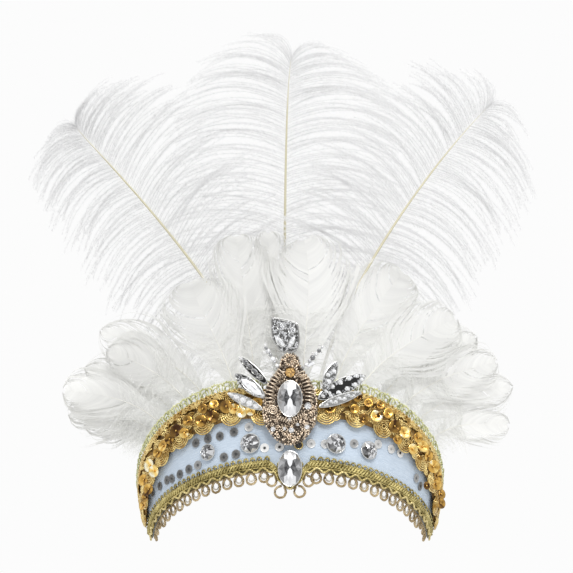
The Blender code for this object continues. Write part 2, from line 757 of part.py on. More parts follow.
def lock_line(centre, ahead, side, length, lean):
    """Points down the middle of a lock: off the quill sideways, then drooping."""
    points = []
    for share in LOCK_SHARES:
        out = side * (length * (0.95 * share - 0.2 * share * share))
        forward = ahead * (length * (lean * share - 0.6 * lean * share * share))
        droop = Vector((0.0, 0.0, -(0.1 + 0.45 * lean) * length * share * share))
        points.append(centre + side * LOCK_ROOT + out + forward + droop)
    return points


def build_lock(name, line, width, ahead, place, stagger, material, collection):
    """One tapering strip along the line. place puts a point of the front view at its
    depth."""
    first = line[1] - line[0]
    sense = 1.0 if Vector((first.z, 0.0, -first.x)).dot(ahead) > 0.0 else -1.0
    rings = []
    for k, (point, share) in enumerate(zip(line, LOCK_SHARES)):
        along = (line[min(k + 1, len(line) - 1)] - line[max(k - 1, 0)]).normalized()
        across = Vector((along.z, 0.0, -along.x)) * (sense * width / 2 * LOCK_WIDTHS[k])
        normal = fan_normal(point.x, point.z, PLUME_TURN)
        lift = normal * (stagger * min(1.0, share / LOCK_SHARES[1]))
        thick = normal * (LOCK_THICK * LOCK_THICKS[k])
        middle = place(point) + lift
        rings.append(
            [place(point + across) + lift, middle + thick, place(point - across) + lift, middle - thick]
        )
    return loft(name, rings, material, collection)


def build_plumes(materials, parts, cutters):
    for name, root, mid_x, mid_z, tip_x, tip_z, left, left_lean, right, right_lean, layer in PLUMES:
        foot, up = quill_foot(root, PLUME_QUILL)
        tip = Vector((tip_x * MM, foot.y, tip_z * MM))
        middle = Vector((mid_x * MM, foot.y, mid_z * MM))
        # the second control point is where the curve passes through the middle
        p1 = foot + up * ((tip - foot).length * 0.3)
        p2 = (middle * 8.0 - foot - p1 * 3.0 - tip) / 3.0
        path = (foot, p1, p2, tip)
        rings = []
        for i in range(QUILL_STEPS + 1):
            t = i / QUILL_STEPS
            centre, _, side = flat_frame(path, t)
            normal = fan_normal(centre.x, centre.z, PLUME_TURN)
            radius = PLUME_QUILL * (1.0 - 0.4 * t)
            at = on_fan(centre, foot, t, layer, PLUME_BARE, PLUME_TURN)
            turns = [2.0 * math.pi * k / 6 for k in range(6)]
            rings.append([at + (side * math.cos(a) + normal * math.sin(a)) * radius for a in turns])
        quill = loft(name, rings, materials["ostrich"], parts)

        def place(point):
            return on_fan(point, foot, 1.0, layer, PLUME_BARE, PLUME_TURN)

        locks = []
        for k in range(PLUME_LOCKS):
            t = PLUME_BARE + (1.0 - PLUME_BARE) * (k + 0.4) / PLUME_LOCKS
            centre, ahead, side = flat_frame(path, t)
            for way, length, lean in ((-1.0, left, left_lean), (1.0, right, right_lean)):
                stagger = LOCK_STAGGER if (k % 2 == 0) == (way > 0) else -LOCK_STAGGER
                reach = plume_reach(t)
                line = lock_line(centre, ahead, side * way, reach * length * MM, lean)
                width = LOCK_WIDTH * min(1.0, 1.5 * reach)
                lock = build_lock(
                    f"{name}_lock", line, width, ahead, place, stagger, materials["ostrich"], cutters
                )
                locks.append(lock)
        fuse(quill, locks, cutters)


def main():
    clear_scene()
    parts = bpy.data.collections.new("feather_headband")
    cutters = bpy.data.collections.new("cutters")
    for collection in (parts, cutters):
        bpy.context.scene.collection.children.link(collection)
    materials = make_materials()
    build_band(materials, parts)
    build_lace(materials, parts)
    build_sequin_braid(materials, parts)
    build_gimp_braid(materials, parts)
    build_loop_fringe(materials, parts)
    build_brooch(materials, parts, cutters)
    build_stones(materials, parts)
    build_goose_feathers(materials, parts)
    build_plumes(materials, parts, cutters)


main()
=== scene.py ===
"""Looks of the feather headband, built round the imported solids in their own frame."""
import math

import bpy
import numpy as np
from mathutils import Matrix, Vector


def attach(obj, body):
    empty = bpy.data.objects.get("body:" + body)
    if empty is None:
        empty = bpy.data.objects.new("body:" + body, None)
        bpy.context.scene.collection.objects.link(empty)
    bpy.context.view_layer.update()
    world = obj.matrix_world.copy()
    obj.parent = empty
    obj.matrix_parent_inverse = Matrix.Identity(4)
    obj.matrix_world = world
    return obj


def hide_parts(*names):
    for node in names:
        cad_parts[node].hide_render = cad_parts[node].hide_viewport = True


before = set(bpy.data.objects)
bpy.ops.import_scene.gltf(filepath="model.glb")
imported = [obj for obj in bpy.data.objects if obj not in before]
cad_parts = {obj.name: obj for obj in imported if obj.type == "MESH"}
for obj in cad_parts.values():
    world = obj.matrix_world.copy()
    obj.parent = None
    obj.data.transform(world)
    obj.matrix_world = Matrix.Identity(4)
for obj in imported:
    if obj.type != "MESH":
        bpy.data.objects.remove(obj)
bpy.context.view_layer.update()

MM = 0.001
GAP = 0.35 * MM
ROOT = "root"
ROUND = 2.0 * math.pi
rng = np.random.default_rng(20261127)

# The photograph's camera: a point in front of the band and the scale at the band's face
PHOTO_SIZE = 573
PHOTO_SCALE = 0.6 * MM  # width of one pixel at the plane VIEW_PLANE
VIEW_PLANE = -60.0 * MM
VIEW_DISTANCE = 1.6
VIEW_HEIGHT = 130.0 * MM
PHOTO_MIDDLE = 290.0  # the pixel column of x = 0
PHOTO_ZERO = 546.6  # the pixel row of z = 0 at VIEW_PLANE

# The band, as in the solids
TILT = math.radians(33.0)
FLARE = math.radians(18.0)
HALF_WIDTH = 85.0 * MM
HALF_DEPTH = 88.0 * MM
WALL = 2.0 * MM
BAND_HEIGHT = 50.0 * MM
BAND_DIP = 4.5 * MM
BAND_DIP_ANGLE = math.radians(20.0)
END_HEIGHT = 13.0 * MM
END_ANGLE = math.radians(88.0)
LEVEL_ANGLE = math.radians(25.0)
END_ROUNDING = 1.4
DIP_DEPTH = 11.0 * MM
DIP_HALF = 14.0 * MM
LACE_OUT = GAP
BRAID_OUT = LACE_OUT + 0.8 * MM + GAP
BRAID_CREST = 2.6 * MM
BRAID_WIDTH = 21.5 * MM
BRAID_STOP = 8.2 * MM
SCALLOPS = 17
GIMP_DROP = 0.8 * MM
BROOCH_HEIGHT = 40.3 * MM
BROOCH_OUT = BRAID_OUT + BRAID_CREST + GAP
PLATE_THICK = 2.4 * MM

# The fan of feathers, as in the solids
QUILL_INSIDE = 13.0 * MM
GOOSE_QUILL = 0.8 * MM
PLUME_QUILL = 1.5 * MM
GOOSE_BARE = 0.24
GOOSE_RISE = 32.0 * MM
FAN_FRONT = -57.0 * MM
FAN_LEAN = 0.12
FAN_TURN = 76.0 * MM
FAN_SLOPE = 1.05
FAN_EASE = 90.0 * MM
FAN_EASED = 125.0 * MM
FAN_END_SLOPE = 0.2
LAYER = 3.1 * MM
PLUME_TURN = 0.8
PLUME_BARE = 0.16
GOOSE = [
    # name, root angle, tip x, tip z, width, bow, layer, curl of the tip, pointedness
    ("centre_left", -4, -13, 190, 20, -3, 3, 1.2, 0.15),
    ("centre_right", 4, 8, 186, 38, 8, 1, 0.7, 0.15),
    ("left_1", -12, -33, 188, 30, -2, 2, 1.2, 0.15),
    ("left_2", -19, -62, 160, 38, -6, 0, 1.1, 0.15),
    ("left_3", -30, -120, 130, 28, -12, 2, 0.25, 0.9),
    ("left_4", -37, -115, 118, 26, -8, 1, 0.35, 0.75),
    ("left_5", -44, -130, 106, 24, -8, 3, 0.3, 0.9),
    ("left_6", -51, -143, 92, 24, -8, 0, 0.5, 0.35),
    ("left_7", -56.5, -140, 78, 22, -8, 2, 0.3, 0.5),
    ("left_8", -61.5, -130, 71, 18, -4, 3, 0.4, 0.85),
    ("right_1", 15, 70, 166, 34, 2, 2, 1.3, 0.15),
    ("right_2", 23, 104, 138, 36, 10, 0, 0.8, 0.5),
    ("right_3", 32, 118, 126, 28, 12, 3, 0.4, 0.9),
    ("right_4", 41, 131, 110, 28, 10, 2, 0.6, 0.7),
    ("right_5", 50, 141, 94, 26, 8, 3, 0.4, 0.85),
    ("right_6", 60, 138, 70, 18, 8, 1, 0.3, 0.3),
]
PLUMES = [
    # name, root angle, middle x and z, tip x and z, left length and droop, right length
    # and droop, layer
    ("left", -9.0, -76, 191, -137, 260, 50, 0.75, 66, 0.3, 7.0),
    ("centre", -1.8, -3, 205, 1, 300, 78, 0.5, 76, 0.5, 10.5),
    ("right", 9.5, 62, 191, 129, 275, 64, 0.3, 62, 0.75, 7.0),
]

# Small tools for lines and circles


def around(count):
    """Angles spaced evenly round a circle."""
    return np.linspace(0.0, ROUND, count, endpoint=False)


def oval(turn, half_width, half_height, rise=0.0):
    """Points of an oval at the angles of turn: across, up and out."""
    ring = [np.cos(turn) * half_width, np.sin(turn) * half_height, np.full(len(turn), rise)]
    return np.stack(ring, axis=1)


def raised(outline, rise):
    """A flat outline, lifted to a height."""
    return np.concatenate([outline, np.full((len(outline), 1), rise)], axis=1)


def run_along(line):
    """How far along a line each of its points lies."""
    steps = np.linalg.norm(np.diff(line, axis=0), axis=1)
    return np.concatenate(([0.0], np.cumsum(steps)))


def points_at(line, run, at):
    """The points of a line at distances along it."""
    return np.stack([np.interp(at, run, line[:, k]) for k in range(line.shape[1])], axis=1)


def unit(ways):
    return ways / np.maximum(1e-9, np.linalg.norm(ways, axis=-1, keepdims=True))


def turned(angle, axis="Z"):
    return Matrix.Rotation(angle, 4, axis)


# Where things are


def band_point(angle, height, out=0.0):
    """A point of the band's wall, from the angle round the head and the height up it."""
    reach = height * math.sin(FLARE) + out * math.cos(FLARE)
    rise = height * math.cos(FLARE) - out * math.sin(FLARE)
    normal = Vector((HALF_DEPTH * math.sin(angle), HALF_WIDTH * math.cos(angle))).normalized()
    side = HALF_WIDTH * math.sin(angle) + normal.x * reach
    front = HALF_DEPTH * math.cos(angle) + normal.y * reach
    return Vector((
        side,
        rise * math.sin(TILT) - front * math.cos(TILT),
        rise * math.cos(TILT) + front * math.sin(TILT),
    ))


def band_points(angle, height, out):
    """The same places as band_point gives, for arrays."""
    angle, height, out = np.broadcast_arrays(angle, height, out)
    reach = height * math.sin(FLARE) + out * math.cos(FLARE)
    rise = height * math.cos(FLARE) - out * math.sin(FLARE)
    normal_x = HALF_DEPTH * np.sin(angle)
    normal_y = HALF_WIDTH * np.cos(angle)
    size = np.hypot(normal_x, normal_y)
    side = HALF_WIDTH * np.sin(angle) + normal_x / size * reach
    front = HALF_DEPTH * np.cos(angle) + normal_y / size * reach
    y = rise * math.sin(TILT) - front * math.cos(TILT)
    z = rise * math.cos(TILT) + front * math.sin(TILT)
    return np.stack([side, y, z], axis=-1)


def band_axes(angle):
    """Along the band, up its wall and out of it."""
    step = 1e-4
    along = (band_point(angle + step, 0.0) - band_point(angle - step, 0.0)).normalized()
    up = (band_point(angle, 1.0 * MM) - band_point(angle, 0.0)).normalized()
    return along, up, along.cross(up).normalized()


def upper_edge(angle):
    past = max(0.0, abs(angle) - LEVEL_ANGLE) / (END_ANGLE - LEVEL_ANGLE)
    fall = math.sqrt(max(0.0, 1.0 - min(1.0, past) ** END_ROUNDING))
    near = max(0.0, 1.0 - abs(angle) / BAND_DIP_ANGLE)
    dip = BAND_DIP * math.sin(math.pi / 2 * near) ** 2
    return END_HEIGHT + (BAND_HEIGHT - END_HEIGHT) * fall - dip


def lower_edge(angle):
    across = abs(HALF_WIDTH * math.sin(angle))
    if across > DIP_HALF or abs(angle) > math.pi / 2:
        return 0.0
    return -DIP_DEPTH * math.cos(math.pi / 2 * across / DIP_HALF) ** 2


def spread(count, edge, samples=600):
    """Angles from end to end that lie evenly along an edge of the band."""
    angles = np.linspace(-END_ANGLE, END_ANGLE, samples)
    run = run_along(np.array([band_point(a, edge(a)) for a in angles]))
    return np.interp(np.linspace(0.0, run[-1], count), run, angles)


def pixel_of(point):
    """Where the photograph's camera sees a point."""
    near = VIEW_DISTANCE / (VIEW_DISTANCE + point.y - VIEW_PLANE)
    across = PHOTO_MIDDLE + point.x * near / PHOTO_SCALE
    down = PHOTO_ZERO - ((point.z - VIEW_HEIGHT) * near + VIEW_HEIGHT) / PHOTO_SCALE
    return np.array([across, down])


def seen_at(surface, across, down, first):
    """The two coordinates of a surface whose point is seen at a pixel."""
    steps = (1e-4, 1e-5)
    most = (0.3, 0.02)
    found = list(first)
    for _ in range(12):
        seen = pixel_of(surface(*found))
        slope_a = (pixel_of(surface(found[0] + steps[0], found[1])) - seen) / steps[0]
        slope_b = (pixel_of(surface(found[0], found[1] + steps[1])) - seen) / steps[1]
        slopes = np.stack([slope_a, slope_b], axis=1)
        move = np.linalg.solve(slopes, np.array([across, down]) - seen)
        found = [at + float(np.clip(m, -far, far)) for at, m, far in zip(found, move, most)]
    return found


def on_band(across, down, out):
    """The place on the band that is seen at a pixel: X along, Y up the wall, Z out."""
    guess = (across - PHOTO_MIDDLE) * PHOTO_SCALE / (HALF_WIDTH + 12.0 * MM)
    first = (math.asin(max(-0.97, min(0.97, guess))), 25.0 * MM)
    angle, height = seen_at(lambda a, h: band_point(a, h, out), across, down, first)
    return band_place(angle, height, out)


def band_place(angle, height, out):
    place = Matrix(band_axes(angle)).transposed().to_4x4()
    place.translation = band_point(angle, height, out)
    return place


BROOCH = band_place(0.0, BROOCH_HEIGHT, BROOCH_OUT)


def on_brooch(across, down, out):
    """The point over the brooch's plate that is seen at a pixel, in the brooch's frame."""
    x, y = seen_at(lambda a, b: BROOCH @ Vector((a, b, out)), across, down, (0.0, 0.0))
    return Vector((x, y, out))


# The fan's surface, on arrays

BAND_TOP = band_point(0.0, BAND_HEIGHT).z


def fan_depth(x, z, layer, share):
    reach = np.abs(x)
    turned_part = np.minimum(reach, FAN_TURN)
    depth = FAN_SLOPE * turned_part * turned_part / (2.0 * FAN_TURN)
    depth = depth + FAN_SLOPE * np.maximum(0.0, np.minimum(reach, FAN_EASE) - FAN_TURN)
    eased = np.maximum(0.0, np.minimum(reach, FAN_EASED) - FAN_EASE)
    fall = (FAN_SLOPE - FAN_END_SLOPE) / (FAN_EASED - FAN_EASE)
    depth = depth + FAN_SLOPE * eased - fall * eased * eased / 2.0
    depth = depth + FAN_END_SLOPE * np.maximum(0.0, reach - FAN_EASED)
    return FAN_FRONT + share * depth + FAN_LEAN * (z - BAND_TOP) + layer * LAYER


def bezier(points, t):
    """points: four points of x and z. t: an array. Gives the points and the directions."""
    s = 1.0 - t
    p0, p1, p2, p3 = (np.asarray(p)[None, :] for p in points)
    s, t = s[:, None], t[:, None]
    place = p0 * s**3 + p1 * 3 * s * s * t + p2 * 3 * s * t * t + p3 * t**3
    slope = (p1 - p0) * 3 * s * s + (p2 - p1) * 6 * s * t + (p3 - p2) * 3 * t * t
    return place, unit(slope)


class Feather:
    """The line of a quill in the front view, and the layer of the fan that it lies in."""

    def __init__(self, root_angle, radius, tip, layer, bare, share):
        angle = math.radians(root_angle)
        self.foot = band_point(angle, upper_edge(angle) - QUILL_INSIDE, -WALL - GAP - radius)
        up = band_axes(angle)[1]
        self.up = np.array([up.x, up.z])
        self.start = np.array([self.foot.x, self.foot.z])
        self.tip = np.array(tip) * MM
        self.length = float(np.linalg.norm(self.tip - self.start))
        self.layer = layer
        self.bare = bare
        self.share = share

    def line(self, t):
        return bezier((self.start, self.first, self.second, self.tip), t)

    def solid(self, flat, t, off=0.0):
        """Points of the front view on the fan. t: how far up the quill they belong."""
        eased = np.minimum(1.0, t / (0.85 * self.bare))
        eased = eased * eased * (3.0 - 2.0 * eased)
        depth = fan_depth(flat[:, 0], flat[:, 1], self.layer, self.share)
        depth = self.foot.y + (depth - self.foot.y) * eased
        return np.stack([flat[:, 0], depth + off, flat[:, 1]], axis=1)


def goose_feather(root, tip, bow, layer):
    feather = Feather(root, GOOSE_QUILL, tip, layer, GOOSE_BARE, 1.0)
    feather.first = feather.start + feather.up * max(0.4 * feather.length, GOOSE_RISE)
    toward = feather.start + (feather.tip - feather.start) * 0.66
    feather.second = toward + np.array([bow * MM, 0.13 * feather.length])
    return feather


def plume_feather(root, middle, tip, layer):
    feather = Feather(root, PLUME_QUILL, tip, layer, PLUME_BARE, PLUME_TURN)
    feather.first = feather.start + feather.up * feather.length * 0.3
    through = np.array(middle) * MM * 8
    feather.second = (through - feather.start - feather.first * 3 - feather.tip) / 3
    return feather


# Mesh building


class Builder:
    """Gathers points and faces for one mesh. tone is a number that a material reads."""

    def __init__(self):
        self.points = []
        self.tones = []
        self.spots = []
        self.faces = []
        self.slots = []
        self.count = 0

    def add(self, points, faces, tone=0.5, spot=None, slot=0):
        points = np.asarray(points, dtype=np.float64).reshape(-1, 3)
        faces = np.asarray(faces, dtype=np.int64)
        size = len(points)
        self.points.append(points)
        self.tones.append(np.broadcast_to(np.asarray(tone, dtype=np.float64), (size,)))
        self.spots.append(np.zeros((size, 2)) if spot is None else np.asarray(spot))
        self.faces.append(faces + self.count)
        self.slots.append(np.full(len(faces), slot))
        self.count += size

    def build(self, name, materials, smooth):
        points = np.concatenate(self.points)
        mesh = bpy.data.meshes.new(name)
        mesh.vertices.add(len(points))
        mesh.vertices.foreach_set("co", points.ravel())
        totals = np.concatenate([np.full(len(f), f.shape[1]) for f in self.faces])
        corners = np.concatenate([f.ravel() for f in self.faces])
        starts = np.concatenate(([0], np.cumsum(totals)[:-1]))
        mesh.loops.add(len(corners))
        mesh.loops.foreach_set("vertex_index", corners)
        mesh.polygons.add(len(totals))
        mesh.polygons.foreach_set("loop_start", starts)
        mesh.polygons.foreach_set("loop_total", totals)
        mesh.polygons.foreach_set("material_index", np.concatenate(self.slots))
        mesh.polygons.foreach_set("use_smooth", np.full(len(totals), smooth))
        tone = mesh.attributes.new("tone", "FLOAT", "POINT")
        tone.data.foreach_set("value", np.concatenate(self.tones))
        spots = np.concatenate(self.spots)
        mesh.uv_layers.new(name="lie").data.foreach_set("uv", spots[corners].ravel())
        for material in materials:
            mesh.materials.append(material)
        mesh.update(calc_edges=True)
        piece = bpy.data.objects.new(name, mesh)
        bpy.context.scene.collection.objects.link(piece)
        return piece


def finish_piece(builder, name, materials, nodes, smooth=True):
    piece = builder.build(name, materials, smooth)
    if nodes:
        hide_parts(*nodes)
    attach(piece, ROOT)


def grid_faces(rows, columns, closed=False):
    """Quads of a grid whose points run along each row in turn."""
    last = columns if closed else columns - 1
    r, c = np.meshgrid(np.arange(rows - 1), np.arange(last), indexing="ij")
    after = (c + 1) % columns
    quads = [r * columns + c, r * columns + after, (r + 1) * columns + after, (r + 1) * columns + c]
    return np.stack([q.ravel() for q in quads], axis=1)


def directions(line, closed):
    if closed:
        return unit(np.roll(line, -1, axis=0) - np.roll(line, 1, axis=0))
    return unit(np.gradient(line, axis=0))


def tube(builder, line, radius, sides=6, closed=False, tone=0.5, hint=(0.0, 0.0, 1.0), slot=0):
    """A round cord along a line. hint: a direction that isn't along the line."""
    line = np.asarray(line, dtype=np.float64)
    size = len(line)
    ahead = directions(line, closed)
    across = unit(np.cross(ahead, np.broadcast_to(hint, ahead.shape)))
    other = np.cross(across, ahead)
    turn = around(sides)
    ring = across[:, None, :] * np.cos(turn)[None, :, None]
    ring = ring + other[:, None, :] * np.sin(turn)[None, :, None]
    points = line[:, None, :] + ring * np.broadcast_to(radius, (size,))[:, None, None]
    spot = np.stack([np.repeat(run_along(line), sides), np.tile(turn / ROUND, size)], axis=1)
    if np.ndim(tone):
        tone = np.repeat(tone, sides)
    faces = grid_faces(size, sides, closed=True)
    if closed:
        k = np.arange(sides)
        after = (k + 1) % sides
        top = (size - 1) * sides
        faces = np.concatenate([faces, np.stack([top + k, top + after, after, k], axis=1)])
    builder.add(points, faces, tone, spot, slot)


def placed(place, points):
    m = np.array(place)
    return np.asarray(points) @ m[:3, :3].T + m[:3, 3]


def bead(builder, centre, radius, tone=0.5, slot=0, sides=8, rings=5):
    """A round bead. centre: a point in the row frame."""
    turn = around(sides)
    falls = np.linspace(0.0, math.pi, rings + 2)[1:-1]
    body = [oval(turn, math.sin(a), math.sin(a), math.cos(a)) for a in falls]
    points = np.concatenate(body + [np.array([[0.0, 0.0, 1.0], [0.0, 0.0, -1.0]])])
    builder.add(points * radius + np.array(centre), grid_faces(rings, sides, closed=True), tone, None, slot)
    k = np.arange(sides)
    after = (k + 1) % sides
    low = (rings - 1) * sides
    top = np.stack([np.full(sides, rings * sides), after, k], axis=1)
    bottom = np.stack([np.full(sides, rings * sides + 1), low + k, low + after], axis=1)
    builder.faces.append(np.concatenate([top, bottom]) + builder.count - len(points))
    builder.slots.append(np.full(2 * sides, slot))


def plate(builder, place, rings, side_tone, back_tone, front_tone, outward):
    """A closed plate from its rings of points, the back one first."""
    size = len(rings[0])
    faces = grid_faces(len(rings), size, closed=True)
    builder.add(placed(place, np.concatenate(rings)), faces[:, ::outward], side_tone, None, 1)
    builder.add(placed(place, rings[0]), [list(range(size))[::-outward]], back_tone, None, 1)
    builder.add(placed(place, rings[-1]), [list(range(size))[::outward]], front_tone, None, 1)


# Barbs and the fine hairs on them

TOWARD_BACK = np.array([0.0, 1.0, 0.0])


def barb_flat(feather, t, s, sign, length, start, bend, fall):
    """Points of barbs in the front view, at the share s of each barb's length.

    start: the angle between the quill and the barb's foot. bend: how far the barb turns
    away from the quill by its tip. fall: how far it sags, as a share of its length."""
    centre, ahead = feather.line(t)
    side = np.stack([ahead[:, 1], -ahead[:, 0]], axis=1) * sign
    rise = (np.sin(start + bend * s) - np.sin(start)) / bend
    out = (np.cos(start) - np.cos(start + bend * s)) / bend
    flat = centre + (length * rise)[:, None] * ahead + (length * out)[:, None] * side
    flat[:, 1] -= fall * length * s * s
    return flat


def barbules(builder, place, index, s, length, spread_low, spread_high):
    """Fine hairs that leave the barbs at a slight angle. place gives the barbs' points."""
    count = len(index)
    base = place(index, s)
    ahead = unit(place(index, np.minimum(1.0, s + 0.01)) - place(index, np.maximum(0.0, s - 0.01)))
    across = unit(np.cross(ahead, TOWARD_BACK))
    turn = rng.uniform(spread_low, spread_high, count) * rng.choice([-1.0, 1.0], count)
    way = ahead * np.cos(turn)[:, None] + across * np.sin(turn)[:, None]
    way = unit(way + TOWARD_BACK * rng.normal(0.0, 0.3, count)[:, None])
    size = length * rng.uniform(0.5, 1.2, count) * (1.0 - 0.55 * s)
    wide = unit(np.cross(way, rng.normal(0.0, 1.0, (count, 3)))) * BARBULE_WIDTH / 2
    points = np.stack([base - wide, base + wide, base + way * size[:, None]], axis=1).reshape(-1, 3)
    tone = np.repeat(rng.uniform(0.5, 1.0, count), 3)
    builder.add(points, np.arange(len(points)).reshape(-1, 3), tone)


def filaments(builder, place, count, steps, width, tones):
    """The thin ribbons of the barbs themselves."""
    size = len(steps)
    index = np.repeat(np.arange(count), size)
    line = place(index, np.tile(steps, count)).reshape(count, size, 3)
    across = unit(np.cross(unit(np.gradient(line, axis=1)), TOWARD_BACK))
    half = width * (1.0 - 0.85 * steps)[None, :, None]
    pair = np.stack([line - across * half, line + across * half], axis=2)
    faces = grid_faces(size, 2)[None] + (np.arange(count) * size * 2)[:, None, None]
    tone = np.repeat(rng.uniform(*tones, count), size * 2)
    builder.add(pair.reshape(-1, 3), faces.reshape(-1, 4), tone)


# Ostrich plumes

OSTRICH_BARBS = 140  # on each side of a quill
OSTRICH_STEPS = 14
OSTRICH_BARBULES = 460  # on each side of a barb, at most
OSTRICH_BARB_WIDTH = 0.17 * MM
BUNDLE = 4.5  # barbs that hang together
TUFT_START = 0.88  # the short upright barbs at the tip start at this share of the quill
QUILL_GOLD = 0.4  # a plume's quill is pale at its foot and golden from this share of its length
QUILL_GREY = 0.72  # and turns grey from here to its tip
BARBULE_LENGTH = 4.4 * MM
BARBULE_WIDTH = 0.13 * MM


def plume_reach(t):
    """How long the barbs are along the quill, as a share of the longest."""
    u = (t - PLUME_BARE) / (1.0 - PLUME_BARE)
    start = np.minimum(1.0, 0.5 + u / 0.5)
    return start * (1.0 - 0.56 * np.maximum(0.0, (u - 0.55) / 0.45) ** 2.4)


def plume_side(builder, feather, sign, reach, droop):
    """The barbs on one side of a quill. They are pulled together in bundles."""
    count = OSTRICH_BARBS
    u = (np.arange(count) + rng.uniform(0.0, 0.8, count)) / count
    t = np.minimum(PLUME_BARE + (1.0 - PLUME_BARE) * (0.02 + 0.98 * u), 0.999)
    group = np.floor(np.arange(count) / BUNDLE + rng.uniform(-0.4, 0.4, count)).astype(int)
    chance = rng.normal(0.0, 1.0, (3, count))
    tuft = np.clip((u - TUFT_START) / (1.0 - TUFT_START), 0.0, 1.0)
    own_length = 1.0 + 0.07 * chance[0][group] + rng.normal(0.0, 0.05, count)
    length = reach * MM * plume_reach(t) * own_length * (1.0 - 0.38 * tuft)
    start = 70.0 - 20.0 * u * u - 46.0 * tuft + 2.5 * chance[1][group]
    start = np.radians(start + rng.normal(0.0, 2.5, count))
    bend = 24.0 + 22.0 * droop + 22.0 * u + 34.0 * tuft
    bend = np.radians(bend + rng.normal(0.0, 5.0, count))
    fall = 0.04 + 0.12 * droop + rng.normal(0.0, 0.02, count)
    group_t = np.array([t[group == g].mean() for g in group])
    spring = 3.0 * MM * chance[2][group] + rng.normal(0.0, 1.4, count) * MM
    wave = rng.uniform(0.0, ROUND, count)
    sway = rng.normal(0.0, 0.8, count) * MM

    def place(index, s):
        shape = (sign, length[index], start[index], bend[index], fall[index])
        own = barb_flat(feather, t[index], s, *shape)
        shared = barb_flat(feather, group_t[index], s, *shape)
        pull = (0.6 * s**2.5)[:, None]
        flat = own * (1.0 - pull) + shared * pull
        flat[:, 1] += sway[index] * s * np.sin(wave[index] + 5.0 * s)
        off = spring[index] * s * s - 2.0 * MM * np.sin(math.pi * s)
        return feather.solid(flat, t[index], off)

    steps = np.linspace(0.0, 1.0, OSTRICH_STEPS)
    filaments(builder, place, count, steps, OSTRICH_BARB_WIDTH, (0.2, 0.7))
    per_barb = (OSTRICH_BARBULES * plume_reach(t) * (1.0 - 0.7 * tuft)).astype(int)
    index = np.repeat(np.arange(count), per_barb)
    s = rng.uniform(0.0, 1.0, len(index)) ** 0.9
    barbules(builder, place, index, s, BARBULE_LENGTH, 0.25, 0.95)


def make_plume(row, materials):
    name, root, middle_x, middle_z, tip_x, tip_z = row[:6]
    feather = plume_feather(root, (middle_x, middle_z), (tip_x, tip_z), row[10])
    builder = Builder()
    plume_side(builder, feather, -1, row[6], row[7])
    plume_side(builder, feather, 1, row[8], row[9])
    t = np.linspace(0.0, 1.0, 40)
    radius = PLUME_QUILL * 0.66 * (1.0 - t) ** 0.8 + 0.18 * MM
    foot = np.clip((QUILL_GOLD - t) / 0.1, 0.0, 1.0)
    tone = foot + np.clip((t - QUILL_GREY) / (1.0 - QUILL_GREY), 0.0, 1.0)
    line = feather.solid(feather.line(t)[0], t)
    tube(builder, line, radius, 8, tone=tone, hint=TOWARD_BACK, slot=1)
    finish_piece(builder, "plume_" + name, materials, ["ostrich_plume_" + name])


# Goose feathers

GOOSE_SPREAD = 1.42  # the loose barbs lie wider than the solid blade
VANE_BARBS = 100
VANE_STEPS = np.array([0.0, 0.14, 0.28, 0.42, 0.55, 0.67, 0.78, 0.87, 0.94, 1.0])
VANE_START = 0.1  # the share of the quill below the vane
VANE_BREAKS = 2
LOCK = 5.5  # barbs that cling together in one pointed lock
LOCK_START = 0.44  # where along a barb the locks part
LOCK_PULL = 0.85
VANE_LEAD = 0.56  # how far up the quill a barb's tip lies past its foot
CURL_START = 0.74
WISPS = 260
WISP_WIDTH = 0.11 * MM
DOWN = 60
DOWN_WIDTH = 0.13 * MM
DOWN_BARBULES = 34
DOWN_BARBULE_LENGTH = 3.4 * MM


def goose_half_width(t, point):
    """point: 0 for a rounded tip, 1 for a pointed one."""
    u = np.clip((t - VANE_START) / (1.0 - VANE_START), 0.0, 1.0)
    start = 0.35 + 0.65 * np.minimum(1.0, u / 0.5) ** 0.9
    past = np.maximum(0.0, (u - 0.5) / 0.503)
    blunt = np.sqrt(np.maximum(0.0, 1.0 - past**2.3))
    sharp = np.maximum(0.0, 1.0 - past**1.5) ** 1.1
    return start * ((1.0 - point) * blunt + point * sharp)


def smooth_noise(count, reach):
    """Noise that changes slowly from one barb to the next."""
    window = np.hanning(2 * reach + 3)[1:-1]
    window = window / np.sqrt((window**2).sum())
    return np.convolve(rng.normal(0.0, 1.0, count + 2 * reach), window, "valid")


